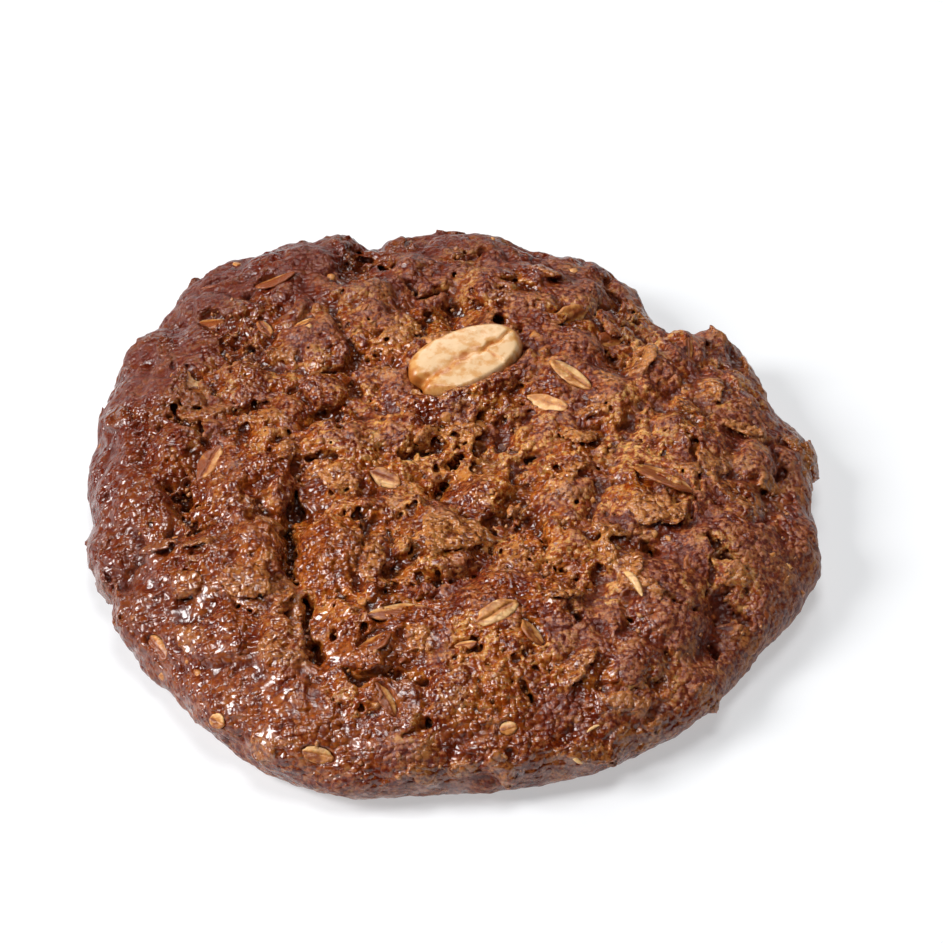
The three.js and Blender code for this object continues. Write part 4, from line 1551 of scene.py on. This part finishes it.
def oat_flake(rng, length, width, thickness):
    """One rolled oat, x along it: points, triangles, and how near each point is to the rim from 0 to 1."""
    angle = circle(48)
    wobble = sum(rng.normal(0, 0.09 / k) * np.cos(k * angle + rng.uniform(0, 6)) for k in range(2, 14))
    across = np.sin(angle) * np.abs(np.sin(angle)) ** rng.uniform(0.15, 0.5)
    outline = np.column_stack([np.cos(angle) * length / 2, across * width / 2]) * (1 + wobble)[:, None]
    shares = np.array([0, 0.18, 0.36, 0.54, 0.7, 0.84, 0.95, 1.0, 0.97, 0.8, 0.5, 0])
    heights = np.array([0.4, 0.4, 0.4, 0.41, 0.43, 0.46, 0.38, 0.05, -0.3, -0.45, -0.5, -0.5]) * thickness
    points, faces = pillow(outline, shares, heights)
    x, y = points[:, 0] / (length / 2), points[:, 1] / (width / 2)
    rim = np.clip(np.hypot(x, y), 0, 1) ** 4
    top = ease_between(points[:, 2], 0, 0.2)
    line = rng.uniform(-0.25, 0.25) + 0.08 * np.sin(4 * x)
    crease = -rng.uniform(-0.3, 0.5) * thickness * np.exp(-(((y - line) / 0.12) ** 2))
    crease = crease * ease_between(np.abs(x), 1, 0.6)
    curl = rng.uniform(-0.14, 0.02) * width * y**2 + rng.uniform(-0.06, 0.02) * length * x**2
    rough = noise(points.astype(np.float32) * np.float32((0.5, 1, 1)) + rng.uniform(0, 90), 0.8, 7)
    points[:, 2] += curl + top * (crease + 0.06 * rough)
    return points, faces, rim


def splinter(path, up, thickness):
    """A flat tapering sliver along a path of three points: points and triangles."""
    share = np.linspace(0, 1, 14)[:, None]
    a, b, c = path
    line = a * (1 - share) ** 2 + 2 * (2 * b - (a + c) / 2) * share * (1 - share) + c * share**2
    along = np.gradient(line, axis=0)
    side = np.cross(up, along)
    side /= np.linalg.norm(side, axis=1)[:, None]
    fat = thickness / 2 * np.sqrt(np.clip(4 * share * (1 - share), 0.03, 1))
    around = np.arange(8) * math.pi / 4
    rings = [line + side * fat * math.cos(t) + up * fat * 0.55 * math.sin(t) for t in around]
    points = np.stack(rings, 1).reshape(-1, 3)
    here = np.arange(8)
    beyond = (here + 1) % 8
    faces = []
    for ring in range(len(line) - 1):
        low, high = ring * 8, ring * 8 + 8
        faces += [np.column_stack([low + here, high + beyond, high + here])]
        faces += [np.column_stack([low + here, low + beyond, high + beyond])]
    caps = np.array([(0, k, k + 1) for k in range(1, 7)])
    return points, np.concatenate([*faces, caps, caps[:, ::-1] + len(points) - 8])


def scattered(rng, shapes, spots, sizes):
    """Each spot gets one of the shapes, turned at random and made its own size. Returns points and faces."""
    points, faces, count = [], [], 0
    kind = rng.integers(len(shapes), size=len(spots))
    for number, (shape, corners) in enumerate(shapes):
        here = kind == number
        turn = np.linalg.qr(rng.normal(size=(here.sum(), 3, 3)))[0]
        turn[np.linalg.det(turn) < 0] *= -1
        placed = np.einsum("ka,nab->nkb", shape, turn) * sizes[here, None, None] / 2 + spots[here, None]
        first = count + np.arange(here.sum()) * len(shape)
        points.append(placed.reshape(-1, 3))
        faces.append((corners[None] + first[:, None, None]).reshape(-1, 3))
        count += placed.shape[0] * placed.shape[1]
    return np.concatenate(points), np.concatenate(faces)


class COOKIE_OT_crumbs(bpy.types.Operator):
    """Scatter grains over the open crumb"""

    bl_idname = "cookie.crumbs"
    bl_label = "Crumb Grains"

    def execute(self, context):
        need_crust()
        settings = context.scene.cookie_crumbs
        mesh = kitchen["dough"].data
        rng = np.random.default_rng(29)
        corners = points_of(mesh)
        crumb = np.empty(len(corners), np.float32)
        mesh.attributes["crumb"].data.foreach_get("value", crumb)
        front_right = ease_between(corners[:, 0] - corners[:, 1], 12, 30)
        chance = (crumb**2 + 0.25 * front_right) * ease_between(corners[:, 2] + 3 * front_right, 7.0, 11.0)
        picked = rng.choice(len(corners), settings.count, replace=False, p=chance / chance.sum())
        spots = corners[picked] + rng.uniform(-0.2, 0.05, (settings.count, 3))
        shapes = [grain_shape(rng, 1, 0.16) for _ in range(30)]
        sizes = settings.smallest + (settings.largest - settings.smallest) * rng.random(settings.count) ** 4
        points, faces = scattered(rng, shapes, spots, sizes / MM)
        toast = np.clip(0.5 + 0.5 * noise(points.astype(np.float32), 0.5, 111), 0, 1)
        grains = make_piece("crumb_grains", points, faces, crumb_material(settings), toast=toast)
        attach(grains, "root")
        return {"FINISHED"}


# ----------------------------------------------------------------------------------------------------
# The panel, and the run.


class COOKIE_PT_panel(bpy.types.Panel):
    """The cookie's pieces, in the order in which they are made"""

    bl_idname = "COOKIE_PT_panel"
    bl_label = "Peanut Cookie"
    bl_space_type = "VIEW_3D"
    bl_region_type = "UI"
    bl_category = "Cookie"

    def draw(self, context):
        for operator, attribute in STEPS:
            column = self.layout.column(align=True)
            column.operator(operator.bl_idname)
            settings = getattr(context.scene, attribute)
            for name in settings.__annotations__:
                column.prop(settings, name)


SETTINGS = {
    "cookie_stage": StageSettings,
    "cookie_dough": DoughSettings,
    "cookie_peanut": PeanutSettings,
    "cookie_oats": OatSettings,
    "cookie_crumbs": CrumbSettings,
}
STEPS = (
    (COOKIE_OT_stage, "cookie_stage"),
    (COOKIE_OT_dough, "cookie_dough"),
    (COOKIE_OT_peanut, "cookie_peanut"),
    (COOKIE_OT_oats, "cookie_oats"),
    (COOKIE_OT_crumbs, "cookie_crumbs"),
)
CLASSES = (*SETTINGS.values(), *(operator for operator, _ in STEPS), COOKIE_PT_panel)


def register():
    """Adds the classes, and the settings to the scene."""
    for made in CLASSES:
        bpy.utils.register_class(made)
    for name, group in SETTINGS.items():
        setattr(bpy.types.Scene, name, bpy.props.PointerProperty(type=group))


def unregister():
    """Takes them all away again."""
    for name in SETTINGS:
        delattr(bpy.types.Scene, name)
    for made in reversed(CLASSES):
        bpy.utils.unregister_class(made)


def main():
    """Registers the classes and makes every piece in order."""
    register()
    for operator, _ in STEPS:
        area, name = operator.bl_idname.split(".")
        getattr(getattr(bpy.ops, area), name)()


if __name__ == "__main__":
    main()
